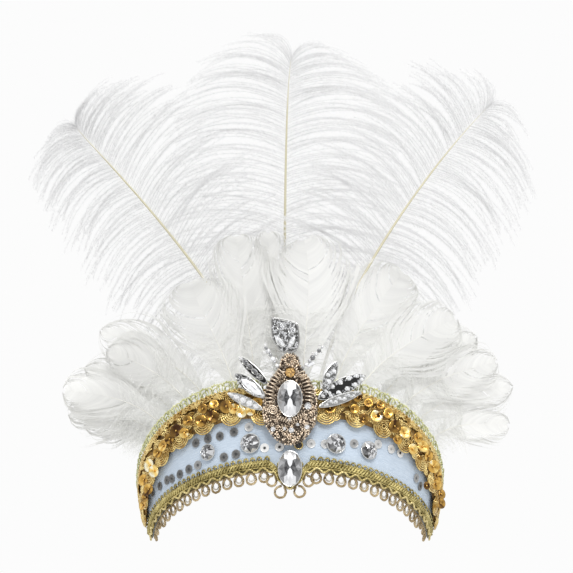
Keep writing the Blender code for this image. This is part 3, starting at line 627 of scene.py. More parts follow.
def goose_side(builder, feather, sign, width, total, curled, cup, point):
    """One vane of a goose feather, with its loose wisps and the down at its foot."""
    count = VANE_BARBS
    u = (np.arange(count) + 0.5) / count
    t0 = VANE_START + 0.87 * u
    breaks = np.sort(rng.uniform(0.15, 0.85, VANE_BREAKS))
    group = np.searchsorted(breaks, u)
    chance = rng.normal(0.0, 1.0, (3, 8))
    lead = VANE_LEAD + 0.03 * chance[0][group]
    lift = 0.4 * MM * chance[1][group] + 0.3 * MM * smooth_noise(count, 8)
    trim = 1.0 + 0.02 * chance[2][group] + 0.035 * smooth_noise(count, 5)

    lock = np.floor((np.arange(count) + rng.uniform(0.0, LOCK)) / LOCK).astype(int)
    locks = lock.max() + 1
    lock_middle = np.array([t0[lock == k].mean() for k in lock])
    lock_reach = 1.0 + (0.06 + 0.1 * point) * rng.normal(0.0, 1.0, locks)[lock]
    flare = rng.uniform(-0.04, 0.12 + 0.3 * point, locks)[lock]

    def barb_point(index, s, foot):
        rest = (1.0 - foot) / (1.0 - VANE_START)
        along = foot + lead[index] * s * rest**0.75
        near, forward = curled(along)
        centre, ahead = feather.line(near)
        side = np.stack([ahead[:, 1], -ahead[:, 0]], axis=1) * sign
        half = goose_half_width(along, point) * width / 2 * trim[index]
        half = half * (1.0 + flare[index] * s**3)
        flat = centre + side * (half * s**0.72)[:, None]
        flat[:, 1] -= 0.05 * half * s * s
        bow = cup * 0.42 * half * s * s
        return feather.solid(flat, np.maximum(near, 0.2), bow - forward + lift[index] * s**1.5)

    def place(index, s):
        """Past LOCK_START a barb leans towards the middle of its lock."""
        longer = s * (1.0 + (lock_reach[index] - 1.0) * s)
        own = barb_point(index, longer, t0[index])
        shared = barb_point(index, longer, lock_middle[index])
        past = np.clip((s - LOCK_START) / (1.0 - LOCK_START), 0.0, 1.0)
        pull = (LOCK_PULL * past**1.3)[:, None]
        return own * (1.0 - pull) + shared * pull

    size = len(VANE_STEPS)
    points = place(np.repeat(np.arange(count), size), np.tile(VANE_STEPS, count))
    faces = grid_faces(count, size).reshape(count - 1, size - 1, 4)
    whole = (group[1:] == group[:-1])[:, None]
    joined = (lock[1:] == lock[:-1])[:, None] | (VANE_STEPS[1:] <= LOCK_START)[None]
    tone = 0.6 + 0.2 * smooth_noise(count, 3) + rng.normal(0.0, 0.14, count)
    tone = np.repeat(np.clip(tone, 0.0, 1.0), size)
    lie = np.stack([np.repeat(t0 * total, size), np.tile(VANE_STEPS, count)], axis=1)
    builder.add(points, faces[whole & joined], tone, lie)

    index = rng.integers(0, count, WISPS)
    reach = 1.0 + rng.uniform(0.0, 1.0, WISPS) ** 2 * (0.22 + 0.2 * point)

    def wisp_place(which, s):
        return place(index[which], (0.55 + 0.45 * s) * reach[which])

    filaments(builder, wisp_place, WISPS, np.linspace(0.0, 1.0, 5), WISP_WIDTH, (0.3, 1.0))

    foot = rng.uniform(VANE_START, 0.5, DOWN)
    length = rng.uniform(0.55, 1.1, DOWN) * width * 0.62
    start = np.radians(rng.uniform(25.0, 65.0, DOWN))
    bend = np.radians(rng.uniform(20.0, 70.0, DOWN))
    fall = rng.uniform(0.0, 0.25, DOWN)
    spring = rng.normal(0.0, 3.0, DOWN) * MM - 1.5 * MM

    def down_place(which, s):
        shape = (sign, length[which], start[which], bend[which], fall[which])
        flat = barb_flat(feather, foot[which], s, *shape)
        return feather.solid(flat, np.full(len(which), 0.5), spring[which] * s)

    filaments(builder, down_place, DOWN, np.linspace(0.0, 1.0, 8), DOWN_WIDTH, (0.4, 0.9))
    index2 = np.repeat(np.arange(DOWN), DOWN_BARBULES)
    s = rng.uniform(0.0, 1.0, len(index2))
    barbules(builder, down_place, index2, s, DOWN_BARBULE_LENGTH, 0.3, 0.9)


def make_goose(row, materials):
    name, root, tip_x, tip_z, width, bow, layer, curl, point = row
    feather = goose_feather(root, (tip_x, tip_z), bow, layer)
    builder = Builder()
    total = run_along(feather.line(np.linspace(0.0, 1.0, 100))[0])[-1]
    stretch = curl / math.sin(min(curl, math.pi / 2))
    part = (1.0 - CURL_START) * stretch / curl
    cup = rng.uniform(-0.25, 0.4)

    def curled(along):
        """How far up the front view a share of the quill comes, and how far forward."""
        u = np.maximum(0.0, along - CURL_START) / (1.0 - CURL_START)
        near = np.where(u > 0.0, CURL_START + part * np.sin(curl * u), along)
        return np.minimum(near, 0.999), total * part * (1.0 - np.cos(curl * u)) * 0.6

    for sign in (-1, 1):
        goose_side(builder, feather, sign, width * MM * GOOSE_SPREAD, total, curled, cup, point)
    t = np.linspace(0.0, 0.93, 24)
    near, forward = curled(t)
    line = feather.solid(feather.line(near)[0], t, 0.3 * MM - forward)
    radius = GOOSE_QUILL * 0.7 * (1.0 - t) ** 0.9 + 0.06 * MM
    tube(builder, line, radius, 6, tone=t, hint=TOWARD_BACK, slot=1)
    finish_piece(builder, "feather_" + name, materials, ["goose_feather_" + name])


# Materials


def new_material(name, colour, roughness=0.5, metallic=0.0):
    material = bpy.data.materials.new(name)
    material.use_nodes = True
    tree = material.node_tree
    shader = tree.nodes["Principled BSDF"]
    shader.inputs["Base Color"].default_value = (*colour, 1.0)
    shader.inputs["Roughness"].default_value = roughness
    shader.inputs["Metallic"].default_value = metallic
    return material, tree, shader


def new_node(tree, kind, **numbers):
    """A node whose sockets are set by name, with _ for each space."""
    node = tree.nodes.new("ShaderNode" + kind)
    for socket, number in numbers.items():
        node.inputs[socket.replace("_", " ")].default_value = number
    return node


def colour_between(tree, shader, share, low, high):
    """The base colour runs from low to high with a share."""
    mix = new_node(tree, "Mix")
    mix.data_type = "RGBA"
    mix.inputs[6].default_value = (*low, 1.0)
    mix.inputs[7].default_value = (*high, 1.0)
    tree.links.new(share, mix.inputs[0])
    tree.links.new(mix.outputs[2], shader.inputs["Base Color"])


def tone_socket(tree):
    """The mesh's tone attribute, as a socket. On some pieces it is their own colour, on others painted
    reflection and painted shade.
    """
    read = new_node(tree, "Attribute")
    read.attribute_name = "tone"
    return read.outputs["Fac"]


def roughened(tree, shader, height, strength, distance):
    bump = new_node(tree, "Bump", Strength=strength, Distance=distance)
    tree.links.new(height, bump.inputs["Height"])
    tree.links.new(bump.outputs[0], shader.inputs["Normal"])


def feather_material(name, low, high, share):
    """Light passes through a share of a thin white feather."""
    material, tree, shader = new_material(name, high, 0.6)
    shader.inputs["Specular IOR Level"].default_value = 0.3
    colour_between(tree, shader, tone_socket(tree), low, high)
    glow = new_node(tree, "BsdfTranslucent", Color=(*high, 1.0))
    mix = new_node(tree, "MixShader")
    mix.inputs[0].default_value = share
    tree.links.new(shader.outputs[0], mix.inputs[1])
    tree.links.new(glow.outputs[0], mix.inputs[2])
    tree.links.new(mix.outputs[0], tree.nodes["Material Output"].inputs["Surface"])
    return material


def tone_material(name, low, high, metallic, roughness, coat=0.0):
    """A surface whose colour follows the mesh's tone. On the quills that is their own colour; on cut stones
    and clear sequins it is painted reflection, and on the brooch's seed beads partly painted shade.
    """
    material, tree, shader = new_material(name, high, roughness, metallic)
    colour_between(tree, shader, tone_socket(tree), low, high)
    shader.inputs["Coat Weight"].default_value = coat
    return material


def cloth_material():
    """Slubs are long streaks of lighter thread that run along the band."""
    material, tree, shader = new_material("pale_blue_cloth", (0.47, 0.57, 0.68), 0.8)
    place = new_node(tree, "UVMap")
    place.uv_map = "lie"
    stretch = new_node(tree, "Mapping", Scale=(160.0, 2200.0, 1.0))
    slub = new_node(tree, "TexNoise", Scale=1.0, Detail=3.0)
    tree.links.new(place.outputs[0], stretch.inputs[0])
    tree.links.new(stretch.outputs[0], slub.inputs["Vector"])
    colour_between(tree, shader, slub.outputs["Fac"], (0.37, 0.46, 0.57), (0.71, 0.79, 0.88))
    roughened(tree, shader, slub.outputs["Fac"], 0.5, 0.0003)
    return material


def thread_material(name, dark, bright, metallic, roughness):
    """Metallic thread with painted shade and painted glints: noise darkens and lightens its colour in
    patches, standing in for the grooves and crests of the twist.
    """
    material, tree, shader = new_material(name, bright, roughness, metallic)
    place = new_node(tree, "TexCoord")
    grain = new_node(tree, "TexNoise", Scale=900.0, Detail=2.0)
    broad = new_node(tree, "TexNoise", Scale=160.0)
    both = new_node(tree, "Math")
    both.operation = "MULTIPLY_ADD"
    both.inputs[1].default_value = 0.7
    contrast = new_node(tree, "MapRange", From_Min=0.62, From_Max=1.05)
    for noise, socket in ((grain, 0), (broad, 2)):
        tree.links.new(place.outputs["Object"], noise.inputs["Vector"])
        tree.links.new(noise.outputs["Fac"], both.inputs[socket])
    tree.links.new(both.outputs[0], contrast.inputs["Value"])
    colour_between(tree, shader, contrast.outputs[0], dark, bright)
    roughened(tree, shader, grain.outputs["Fac"], 0.6, 0.0002)
    return material


def foil_material():
    """Gold foil whose colour follows the mesh's tone as painted reflection: dark amber for a reflection of
    the dark, nearly white for a glint.
    """
    material, tree, shader = new_material("gold_foil", (1.0, 0.7, 0.25), 0.22, 0.8)
    shader.inputs["Coat Weight"].default_value = 0.15
    ramp = new_node(tree, "ValToRGB")
    stops = ramp.color_ramp.elements
    stops[0].color = (0.06, 0.02, 0.003, 1.0)
    stops[1].color = (1.0, 0.94, 0.7, 1.0)
    stops.new(0.45).color = (0.74, 0.43, 0.09, 1.0)
    stops.new(0.8).color = (1.0, 0.74, 0.26, 1.0)
    tree.links.new(tone_socket(tree), ramp.inputs[0])
    tree.links.new(ramp.outputs[0], shader.inputs["Base Color"])
    return material


OSTRICH_DOWN = feather_material("ostrich_down", (0.63, 0.63, 0.64), (0.87, 0.87, 0.87), 0.38)
GOOSE_VANE = feather_material("goose_vane", (0.77, 0.77, 0.76), (0.90, 0.90, 0.88), 0.34)
GOLDEN_QUILL = tone_material("golden_quill", (0.56, 0.52, 0.37), (0.80, 0.79, 0.75), 0.0, 0.4)
IVORY_QUILL = tone_material("ivory_quill", (0.80, 0.78, 0.70), (0.9, 0.9, 0.88), 0.0, 0.4)
# The thread colours below run from painted shade in their dark to painted glints in their bright.
GOLD_THREAD = thread_material("gold_thread", (0.36, 0.19, 0.03), (1.0, 0.81, 0.36), 0.7, 0.26)
# The braid's ground ribbon, kept very dark as painted shade between the cords.
AMBER_GROUND_WITH_PAINTED_SHADE = thread_material("amber_ground_with_painted_shade", (0.03, 0.014, 0.002), (0.34, 0.19, 0.04), 0.4, 0.5)
PALE_THREAD = thread_material("pale_gold_thread", (0.46, 0.47, 0.20), (0.86, 0.85, 0.52), 0.1, 0.5)
OLIVE_THREAD = thread_material("olive_gold_thread", (0.20, 0.155, 0.04), (0.68, 0.575, 0.235), 0.4, 0.42)
OLIVE_GROUND = thread_material("olive_ground", (0.09, 0.07, 0.02), (0.27, 0.23, 0.10), 0.3, 0.6)
LIGHT_GOLD = thread_material("light_gold_thread", (0.32, 0.24, 0.06), (0.82, 0.69, 0.33), 0.5, 0.36)
TAN_CORD = thread_material("tan_gold_cord", (0.26, 0.18, 0.08), (0.66, 0.53, 0.32), 0.25, 0.5)
CREAM_CORD = thread_material("cream_cord", (0.50, 0.46, 0.38), (0.85, 0.82, 0.74), 0.1, 0.5)
BRONZE_WIRE = thread_material("rose_bronze_wire", (0.10, 0.055, 0.025), (0.88, 0.73, 0.56), 0.75, 0.28)
GOLD_SEQUIN = foil_material()
# The tones of the clear sequins, cut glass and cut amber below are painted reflections.
FLAT_SEQUIN = tone_material("clear_sequin", (0.02, 0.02, 0.02), (0.92, 0.92, 0.91), 0.2, 0.35, 0.1)
CUT_GLASS = tone_material("foiled_glass", (0.005, 0.005, 0.007), (0.97, 0.98, 1.0), 0.3, 0.07, 0.5)
CUT_AMBER = tone_material("foiled_amber", (0.14, 0.05, 0.004), (0.95, 0.60, 0.20), 0.3, 0.08, 1.0)
SILVER = tone_material("silver_plate", (0.012, 0.012, 0.012), (0.88, 0.88, 0.86), 0.6, 0.22)
SEED_BEAD = tone_material("bronze_seed_beads", (0.035, 0.018, 0.008), (1.0, 0.83, 0.64), 0.6, 0.18, 0.4)

for row in PLUMES:
    make_plume(row, [OSTRICH_DOWN, GOLDEN_QUILL])
for row in GOOSE:
    make_goose(row, [GOOSE_VANE, IVORY_QUILL])

# Cloth cover of the band

CLOTH_COLUMNS = 161
CLOTH_ROWS = 16
CLOTH_TOP = ((0.5, -0.4), (0.6, -1.0), (0.4, -1.7))  # up and out from the upper edge, in mm
CLOTH_FOOT = ((-0.4, -1.6), (-0.5, -1.0), (-0.3, -0.4))


def cloth_ring(angle):
    """Heights and depths once round the wall: up its face, over its top and down its back."""
    low, high = lower_edge(angle), upper_edge(angle)
    half = CLOTH_ROWS // 2
    ring = [(low + (high - low) * k / CLOTH_ROWS, 0.0) for k in range(CLOTH_ROWS + 1)]
    ring += [(high + up * MM, out * MM) for up, out in CLOTH_TOP]
    ring += [(high - (high - low) * k / half, -WALL) for k in range(half + 1)]
    ring += [(low + up * MM, out * MM) for up, out in CLOTH_FOOT]
    return ring


def make_cloth():
    angles = spread(CLOTH_COLUMNS, lambda a: 25.0 * MM * math.cos(a))
    rings = []
    spots = []
    run = 0.0
    last = None
    for angle in angles:
        ring = cloth_ring(angle)
        points = [band_point(angle, height, out) for height, out in ring]
        middle = points[CLOTH_ROWS // 2]
        run += (middle - last).length if last is not None else 0.0
        last = middle
        rings.append(points)
        spots += [(run, height) for height, _ in ring]
    size = len(rings[0])
    builder = Builder()
    points = np.array([[tuple(p) for p in r] for r in rings]).reshape(-1, 3)
    faces = grid_faces(CLOTH_COLUMNS, size, closed=True)
    builder.add(points, faces[:, ::-1], 0.5, np.array(spots))
    for k, flip in ((0, 1), (CLOTH_COLUMNS - 1, -1)):
        ring = points[k * size:(k + 1) * size]
        i = np.arange(size)
        fan = np.stack([np.zeros(size, dtype=int), 1 + i, 1 + (i + 1) % size], axis=1)[:, ::flip]
        builder.add(np.concatenate([ring.mean(axis=0)[None], ring]), fan)
    finish_piece(builder, "cloth_cover", [cloth_material()], ["band"])


make_cloth()

# Trims that follow the band

OFF_LINE = (0.13, 0.35, 0.93)  # a direction that none of the trims' cords follows
ALL_ROUND = np.linspace(-END_ANGLE, END_ANGLE, 1000)


def slope_of(angle, edge):
    """How steeply an edge climbs along the band, in radians."""
    step = 0.004
    climb = edge(angle + step) - edge(angle - step)
    run = (band_point(angle + step, edge(angle)) - band_point(angle - step, edge(angle))).length
    return math.atan2(climb, run)


def hug(angle, height, slope, local):
    """Lays a small flat shape on the band. local: along, up and out, in metres."""
    local = np.asarray(local, dtype=np.float64)
    step = 0.004
    rate = (band_point(angle + step, height) - band_point(angle - step, height)).length / (2 * step)
    along = local[:, 0] * math.cos(slope) - local[:, 1] * math.sin(slope)
    up = local[:, 0] * math.sin(slope) + local[:, 1] * math.cos(slope)
    return band_points(angle + along / rate, height + up, local[:, 2])


def rope(builder, line, radius, pitch, closed=False, strands=2, sides=4, slot=0):
    """A cord of strands twisted round each other. pitch: the length of one turn."""
    ahead = directions(line, closed)
    normal = unit(np.cross(ahead, OFF_LINE))
    other = np.cross(ahead, normal)
    run = run_along(np.concatenate([line, line[:1]]))
    whole = run[-1] if closed else run[-2]
    turns = max(1, round(whole / pitch)) if closed else whole / pitch
    phase = run[:-1] / whole * turns * ROUND
    for k in range(strands):
        a = phase + ROUND * k / strands
        off = normal * np.cos(a)[:, None] + other * np.sin(a)[:, None]
        strand = line + off * radius * 0.48
        tube(builder, strand, radius * 0.56, sides, closed, hint=OFF_LINE, slot=slot)


def cord(builder, line, radius, pitch, slot=0):
    """One thick cord whose twist shows as gentle swellings."""
    swell = 1.0 + 0.17 * np.sin(ROUND * run_along(line) / pitch)
    tube(builder, line, radius * swell, 5, hint=OFF_LINE, slot=slot)


def band_bed(builder, low_edge, high_edge, out, thick):
    """A plain ribbon under the cords."""
    rows = []
    angles = np.linspace(-END_ANGLE, END_ANGLE, 240)
    for a in angles:
        low = low_edge(a)
        high = max(high_edge(a), low + 0.5 * MM)
        ring = [(low, out), (low, out + thick), (high, out + thick), (high, out)]
        rows.append([tuple(band_point(a, h, o)) for h, o in ring])
    builder.add(np.array(rows), grid_faces(len(angles), 4, closed=True)[:, ::-1], slot=2)


# Lace edging: a row of round cord loops above the sequin braid

LACE_LOOPS = 43
LACE_RADIUS = 3.05 * MM
LACE_TALL = 1.05  # the loops are this much taller than wide
LACE_CORD = 0.72 * MM
LACE_RISE = 3.1 * MM
LACE_STEPS = 20
LACE_PITCH = 1.6 * MM
KNOT_SPOTS = (0.16, 0.33, 0.5, 0.67, 0.84)  # shares of the way over each loop


def make_lace():
    builder = Builder()
    out = LACE_OUT + 0.45 * MM
    turn = around(LACE_STEPS)
    marks = spread(2 * LACE_LOOPS + 1, upper_edge)

    def loop(angle, radius, rise, depth, thick):
        grow = 1.0 + rng.normal(0.0, 0.04)
        ring = oval(turn, radius * grow, radius * LACE_TALL * grow, depth)
        ring[:, 1] += rise
        ring[:, 2] += 0.3 * MM * np.sin(turn + rng.uniform(0.0, 6.0))
        line = hug(angle, upper_edge(angle), slope_of(angle, upper_edge), ring)
        rope(builder, line, thick, LACE_PITCH, closed=True, sides=3)

    for angle in marks[1::2]:
        loop(angle, LACE_RADIUS, LACE_RISE, out, LACE_CORD)
        loop(angle, 0.5 * LACE_RADIUS, LACE_RISE - 0.5 * MM, out - 0.2 * MM, 0.5 * MM)
        wide = LACE_RADIUS + 0.55 * MM
        tall = LACE_RADIUS * LACE_TALL + 0.55 * MM
        knots = oval(math.pi * np.array(KNOT_SPOTS), wide, tall, out)
        knots[:, 1] += LACE_RISE
        for knot in hug(angle, upper_edge(angle), slope_of(angle, upper_edge), knots):
            bead(builder, knot, 0.5 * MM, sides=6, rings=3)
    for angle in marks[::2]:
        loop(angle, 2.5 * MM, 3.3 * MM, out + 0.5 * MM, 0.66 * MM)
    angles = np.linspace(-END_ANGLE, END_ANGLE, 700)
    tops = np.array([upper_edge(a) for a in angles])
    for lift, radius in ((0.3, 0.46), (-1.2, 0.42)):
        cord(builder, band_points(angles, tops + lift * MM, out), radius * MM, LACE_PITCH)
    finish_piece(builder, "lace_loops", [PALE_THREAD], ["lace_edging"])


make_lace()

# Sequin braid: fans of cord below, cup sequins above, rows of twisted cord between

FAN_RADII = (1.3, 2.6, 3.9, 5.2, 6.5)
FAN_CORD = 0.56 * MM
FAN_MIDDLE = 6.9 * MM
FAN_PITCH = 1.8 * MM
SWIRLS = 42
SWIRL_RADII = (1.0, 2.1, 3.2)
SWIRL_FALLS = (4.0, 7.1, 10.2, 13.2, 15.9)  # rows of swirls below the upper edge
SWIRL_CORD = 0.46 * MM
EDGE_CORDS = [
    # fall from the upper edge, sway, length of one wave, out, in millimetres
    (0.2, 0.55, 3.1, 0.7), (-1.2, 0.3, 2.4, 1.0), (-2.4, 0.4, 4.0, 1.2),
]
CUP_PROFILE = ((0.12, 0.0), (0.42, 0.25), (0.72, 0.62), (1.0, 1.0), (1.0, 1.12), (0.7, 0.74), (0.12, 0.1))
CUP_SECTORS = 16
CUP_DEPTH = 0.22
CUP_SEQUINS = [
    # pixel across and down, diameter in millimetres, brightness as a painted reflection
    (176.5, 431.0, 8.2, 0.10), (184.5, 433.0, 6.4, 0.45), (201.0, 421.0, 7.6, 0.30),
    (212.5, 416.5, 8.0, 0.08), (226.5, 406.5, 8.2, 0.22), (234.5, 409.0, 6.8, 0.65),
    (244.5, 404.0, 6.6, 0.95), (241.5, 412.5, 6.6, 0.97), (250.5, 410.5, 6.0, 0.9),
    (163.5, 446.0, 7.4, 0.45), (150.0, 465.5, 8.2, 0.96), (154.5, 471.0, 7.6, 0.85),
    (144.0, 480.0, 7.4, 0.5), (149.0, 489.0, 7.0, 0.35), (143.5, 505.0, 6.6, 0.4),
    (345.0, 400.0, 8.2, 0.2), (330.0, 408.0, 7.6, 0.15), (363.5, 418.5, 6.4, 0.08),
    (376.0, 416.5, 7.8, 0.97), (379.5, 414.8, 3.6, 0.03), (380.5, 405.5, 5.6, 0.2),
    (394.5, 426.5, 8.2, 0.15), (404.5, 433.0, 8.2, 0.6), (412.5, 449.0, 6.6, 0.7),
    (422.5, 446.5, 8.4, 0.62), (433.0, 466.5, 8.2, 0.58), (436.0, 484.0, 7.6, 0.5),
    (440.0, 503.0, 7.2, 0.25), (426.0, 485.5, 5.0, 0.06), (258.0, 402.0, 6.8, 0.35),
    (354.5, 409.0, 6.0, 0.4), (188.0, 421.0, 6.2, 0.35), (170.0, 439.0, 6.4, 0.2),
    (214.0, 404.5, 6.0, 0.5), (203.0, 408.5, 6.2, 0.25), (357.0, 397.0, 6.4, 0.3),
    (368.5, 403.0, 6.0, 0.25), (388.0, 413.5, 6.6, 0.4), (417.5, 437.5, 6.6, 0.5),
    (428.0, 456.0, 6.8, 0.4), (437.0, 475.5, 6.4, 0.3), (158.0, 453.0, 6.4, 0.35),
    (146.0, 497.0, 6.4, 0.3), (441.0, 494.0, 6.2, 0.35), (397.0, 440.0, 6.0, 0.3),
]


def cup_sequin(builder, place, radius, bright):
    """A cupped disc with a hole, in facets whose tones are painted reflections, each a little different.
    The rim's crest gets a painted highlight and the ring by the hole is darker.
    """
    turn = around(CUP_SECTORS)
    tones = np.clip(bright + rng.normal(0.0, 0.08 + 0.22 * bright, CUP_SECTORS // 2), 0.0, 1.0)
    tones = np.repeat(tones, 2)
    rings = []
    ring_tones = []
    for share, rise in CUP_PROFILE:
        rings.append(oval(turn, radius * share, radius * share, rise * radius * CUP_DEPTH))
        # painted highlight on the crest of the rim; the ring by the hole is darker
        painted_rim_highlight = 0.22 if share > 0.9 and rise == 1.0 else 0.0
        ring_tones.append(np.clip(tones + painted_rim_highlight - 0.25 * (share < 0.2), 0.0, 1.0))
    faces = grid_faces(len(CUP_PROFILE), CUP_SECTORS, closed=True)
    builder.add(placed(place, np.concatenate(rings)), faces, np.concatenate(ring_tones), None, 1)


def lean(place, across, up):
    """Tips a piece on its place."""
    return place @ turned(across, "Y") @ turned(up, "X")


def braid_low(angle, fall):
    return max(upper_edge(angle) - fall, lower_edge(angle) + BRAID_STOP)


def arcs(builder, angle, height, slope, radii, turn, depth, thick):
    """Cords laid side by side round one centre."""
    for i, radius in enumerate(radii):
        local = oval(turn, radius * MM, radius * MM, depth - 0.16 * MM * i)
        cord(builder, hug(angle, height, slope, local), thick, FAN_PITCH)


def make_cord_fans(builder):
    turn = np.linspace(0.02 * math.pi, -1.02 * math.pi, 24)
    out = BRAID_OUT + 2.1 * MM
    for angle in spread(SCALLOPS * 4, upper_edge)[2::4]:
        low = braid_low(angle, BRAID_WIDTH)
        size = min(1.0, (upper_edge(angle) - low) / BRAID_WIDTH)
        slope = slope_of(angle, lambda a: braid_low(a, BRAID_WIDTH - 2.0 * MM))
        radii = [r * (0.55 + 0.45 * size) for r in FAN_RADII]
        middle = low + FAN_MIDDLE * size
        arcs(builder, angle, middle, slope, radii, turn, out, FAN_CORD * (0.7 + 0.3 * size))
        arcs(builder, angle, middle, slope, radii[:2], -turn, out, FAN_CORD * 0.8)


def make_cord_swirls(builder):
    marks = spread(SWIRLS, upper_edge)
    for k, angle in enumerate(marks):
        top = upper_edge(angle)
        room = top - braid_low(angle, BRAID_WIDTH - 4.0 * MM)
        slope = slope_of(angle, upper_edge)
        for row, fall in enumerate(SWIRL_FALLS):
            if fall * MM + 1.5 * MM > room:
                continue
            aim = rng.uniform(-0.9, 0.9) + (math.pi if (k + row) % 2 else 0.0)
            turn = np.linspace(0.0, -math.pi, 13) + aim
            shift = marks[min(k + 1, SWIRLS - 1)] - angle if row % 2 else 0.0
            out = BRAID_OUT + (1.3 + 0.15 * row) * MM
            middle = top - fall * MM
            arcs(builder, angle + 0.5 * shift, middle, slope, SWIRL_RADII, turn, out, SWIRL_CORD)


def make_sequin_braid():
    builder = Builder()
    make_cord_fans(builder)
    make_cord_swirls(builder)
    wave = np.linspace(-END_ANGLE, END_ANGLE, 760)
    tops = np.array([upper_edge(a) for a in wave])
    run = run_along(band_points(wave, tops, 0.0))
    for fall, sway, length, out in EDGE_CORDS:
        heights = tops + fall * MM + sway * MM * np.sin(ROUND * run / (length * MM) + fall)
        cord(builder, band_points(wave, heights, BRAID_OUT + out * MM), 0.58 * MM, 1.9 * MM)
    # The ground under the cords, dark as painted shade between them.
    band_bed(
        builder, lambda a: braid_low(a, BRAID_WIDTH - 3.6 * MM),
        lambda a: upper_edge(a) - 0.4 * MM, BRAID_OUT + 0.1 * MM, 0.6 * MM,
    )
    for across, down, diameter, bright in CUP_SEQUINS:
        place = on_band(across, down, BRAID_OUT + (3.0 if diameter > 5.5 else 3.9) * MM)
        away = math.atan2(place[0][2], -place[1][2])
        place = lean(place, -0.45 * away + rng.normal(0.0, 0.14), rng.normal(0.0, 0.14))
        cup_sequin(builder, place, diameter / 2 * MM, bright)
        bead(builder, place @ Vector((0.0, 0.0, 0.5 * MM)), 0.6 * MM, 0.55, 1, 6, 3)
    materials = [GOLD_THREAD, GOLD_SEQUIN, AMBER_GROUND_WITH_PAINTED_SHADE]
    finish_piece(builder, "sequin_trim", materials, ["sequin_braid"])


make_sequin_braid()

# Gimp: picots on top, a crossed chain in the middle, a bright wave below

PICOTS = 70
PICOT_STEPS = 14
FRINGE_LOOPS = 34
GIMP_CORD = 0.66 * MM
GIMP_PITCH = 1.9 * MM


def make_gimp():
    builder = Builder()
    lows = np.array([lower_edge(a) for a in ALL_ROUND]) - GIMP_DROP
    run = run_along(band_points(ALL_ROUND, lows, 0.0))
    turns = run / run[-1] * ROUND
    base = GAP + 0.7 * MM
    for phase in (0.0, math.pi):
        swing = turns * PICOTS + phase
        heights = lows + 3.5 * MM + 1.05 * MM * np.sin(swing)
        line = band_points(ALL_ROUND, heights, base + 0.9 * MM + 0.5 * MM * np.cos(swing))
        cord(builder, line, GIMP_CORD, GIMP_PITCH)
    for lift in (1.6 * MM, 5.3 * MM):
        cord(builder, band_points(ALL_ROUND, lows + lift, base + 0.6 * MM), 0.5 * MM, 1.8 * MM)
    heights = lows + 0.15 * MM - 1.15 * MM * np.cos(turns * FRINGE_LOOPS)
    line = band_points(ALL_ROUND, heights, base + 0.9 * MM)
    cord(builder, line, GIMP_CORD, GIMP_PITCH, slot=1)
    turn = around(PICOT_STEPS)
    ring = oval(turn, 1.3 * MM, 1.55 * MM, base + 0.5 * MM)
    ring[:, 1] += 6.5 * MM
    ring[:, 2] += 0.3 * MM * np.cos(turn)
    for angle in spread(PICOTS, lower_edge):
        line = hug(angle, lower_edge(angle) - GIMP_DROP, slope_of(angle, lower_edge), ring)
        rope(builder, line, 0.74 * MM, 1.6 * MM, closed=True)
    band_bed(
        builder, lambda a: lower_edge(a) - 0.9 * MM,
        lambda a: lower_edge(a) + 5.4 * MM, GAP, 0.7 * MM,
    )
    materials = [OLIVE_THREAD, LIGHT_GOLD, OLIVE_GROUND]
    finish_piece(builder, "gimp_trim", materials, ["gimp_braid"])


make_gimp()

# Loop fringe

FRINGE_STEPS = 28
FRINGE_MOUTH = 0.3  # half of each loop's opening at the top, in radians
END_LOOPS = 3  # the loops at either end are smaller
END_LOOP_SIZE = 0.62


def make_loop_fringe():
    builder = Builder()
    turn = np.linspace(0.5 * math.pi + FRINGE_MOUTH, 2.5 * math.pi - FRINGE_MOUTH, FRINGE_STEPS)

    def fringe_ring(half_width, half_height, drop, out, size):
        ring = oval(turn, half_width * MM * size, half_height * MM * size, out * MM)
        ring[:, 0] *= 1.0 - 0.1 * np.sin(turn)
        ring[:, 1] -= drop * MM * size
        return ring

    for k, angle in enumerate(spread(2 * FRINGE_LOOPS + 1, lower_edge)[1::2]):
        slope = slope_of(angle, lower_edge) * 0.6
        from_middle = abs(k + 0.5 - FRINGE_LOOPS / 2)
        size = 1.1 if from_middle < 1.0 else 1.0
        size *= 1.0 + rng.normal(0.0, 0.03)
        size *= END_LOOP_SIZE if min(k, FRINGE_LOOPS - 1 - k) < END_LOOPS else 1.0
        ring = fringe_ring(2.95, 3.1, 4.7, -0.9, size)
        rope(builder, hug(angle, lower_edge(angle), slope, ring), 0.86 * MM, 2.6 * MM, strands=3)
        if from_middle > 2.0:
            ring = fringe_ring(1.9, 2.3, 3.6, -1.2, size)
            rope(builder, hug(angle, lower_edge(angle), slope, ring), 0.55 * MM, 2.0 * MM, slot=1)
    angles = np.linspace(-END_ANGLE, END_ANGLE, 500)
    lows = np.array([lower_edge(a) for a in angles])
    rope(builder, band_points(angles, lows - 1.2 * MM, -0.9 * MM), 0.9 * MM, 2.2 * MM)
    finish_piece(builder, "fringe_loops", [TAN_CORD, CREAM_CORD], ["loop_fringe"])


make_loop_fringe()

# Flat sequins on the cloth

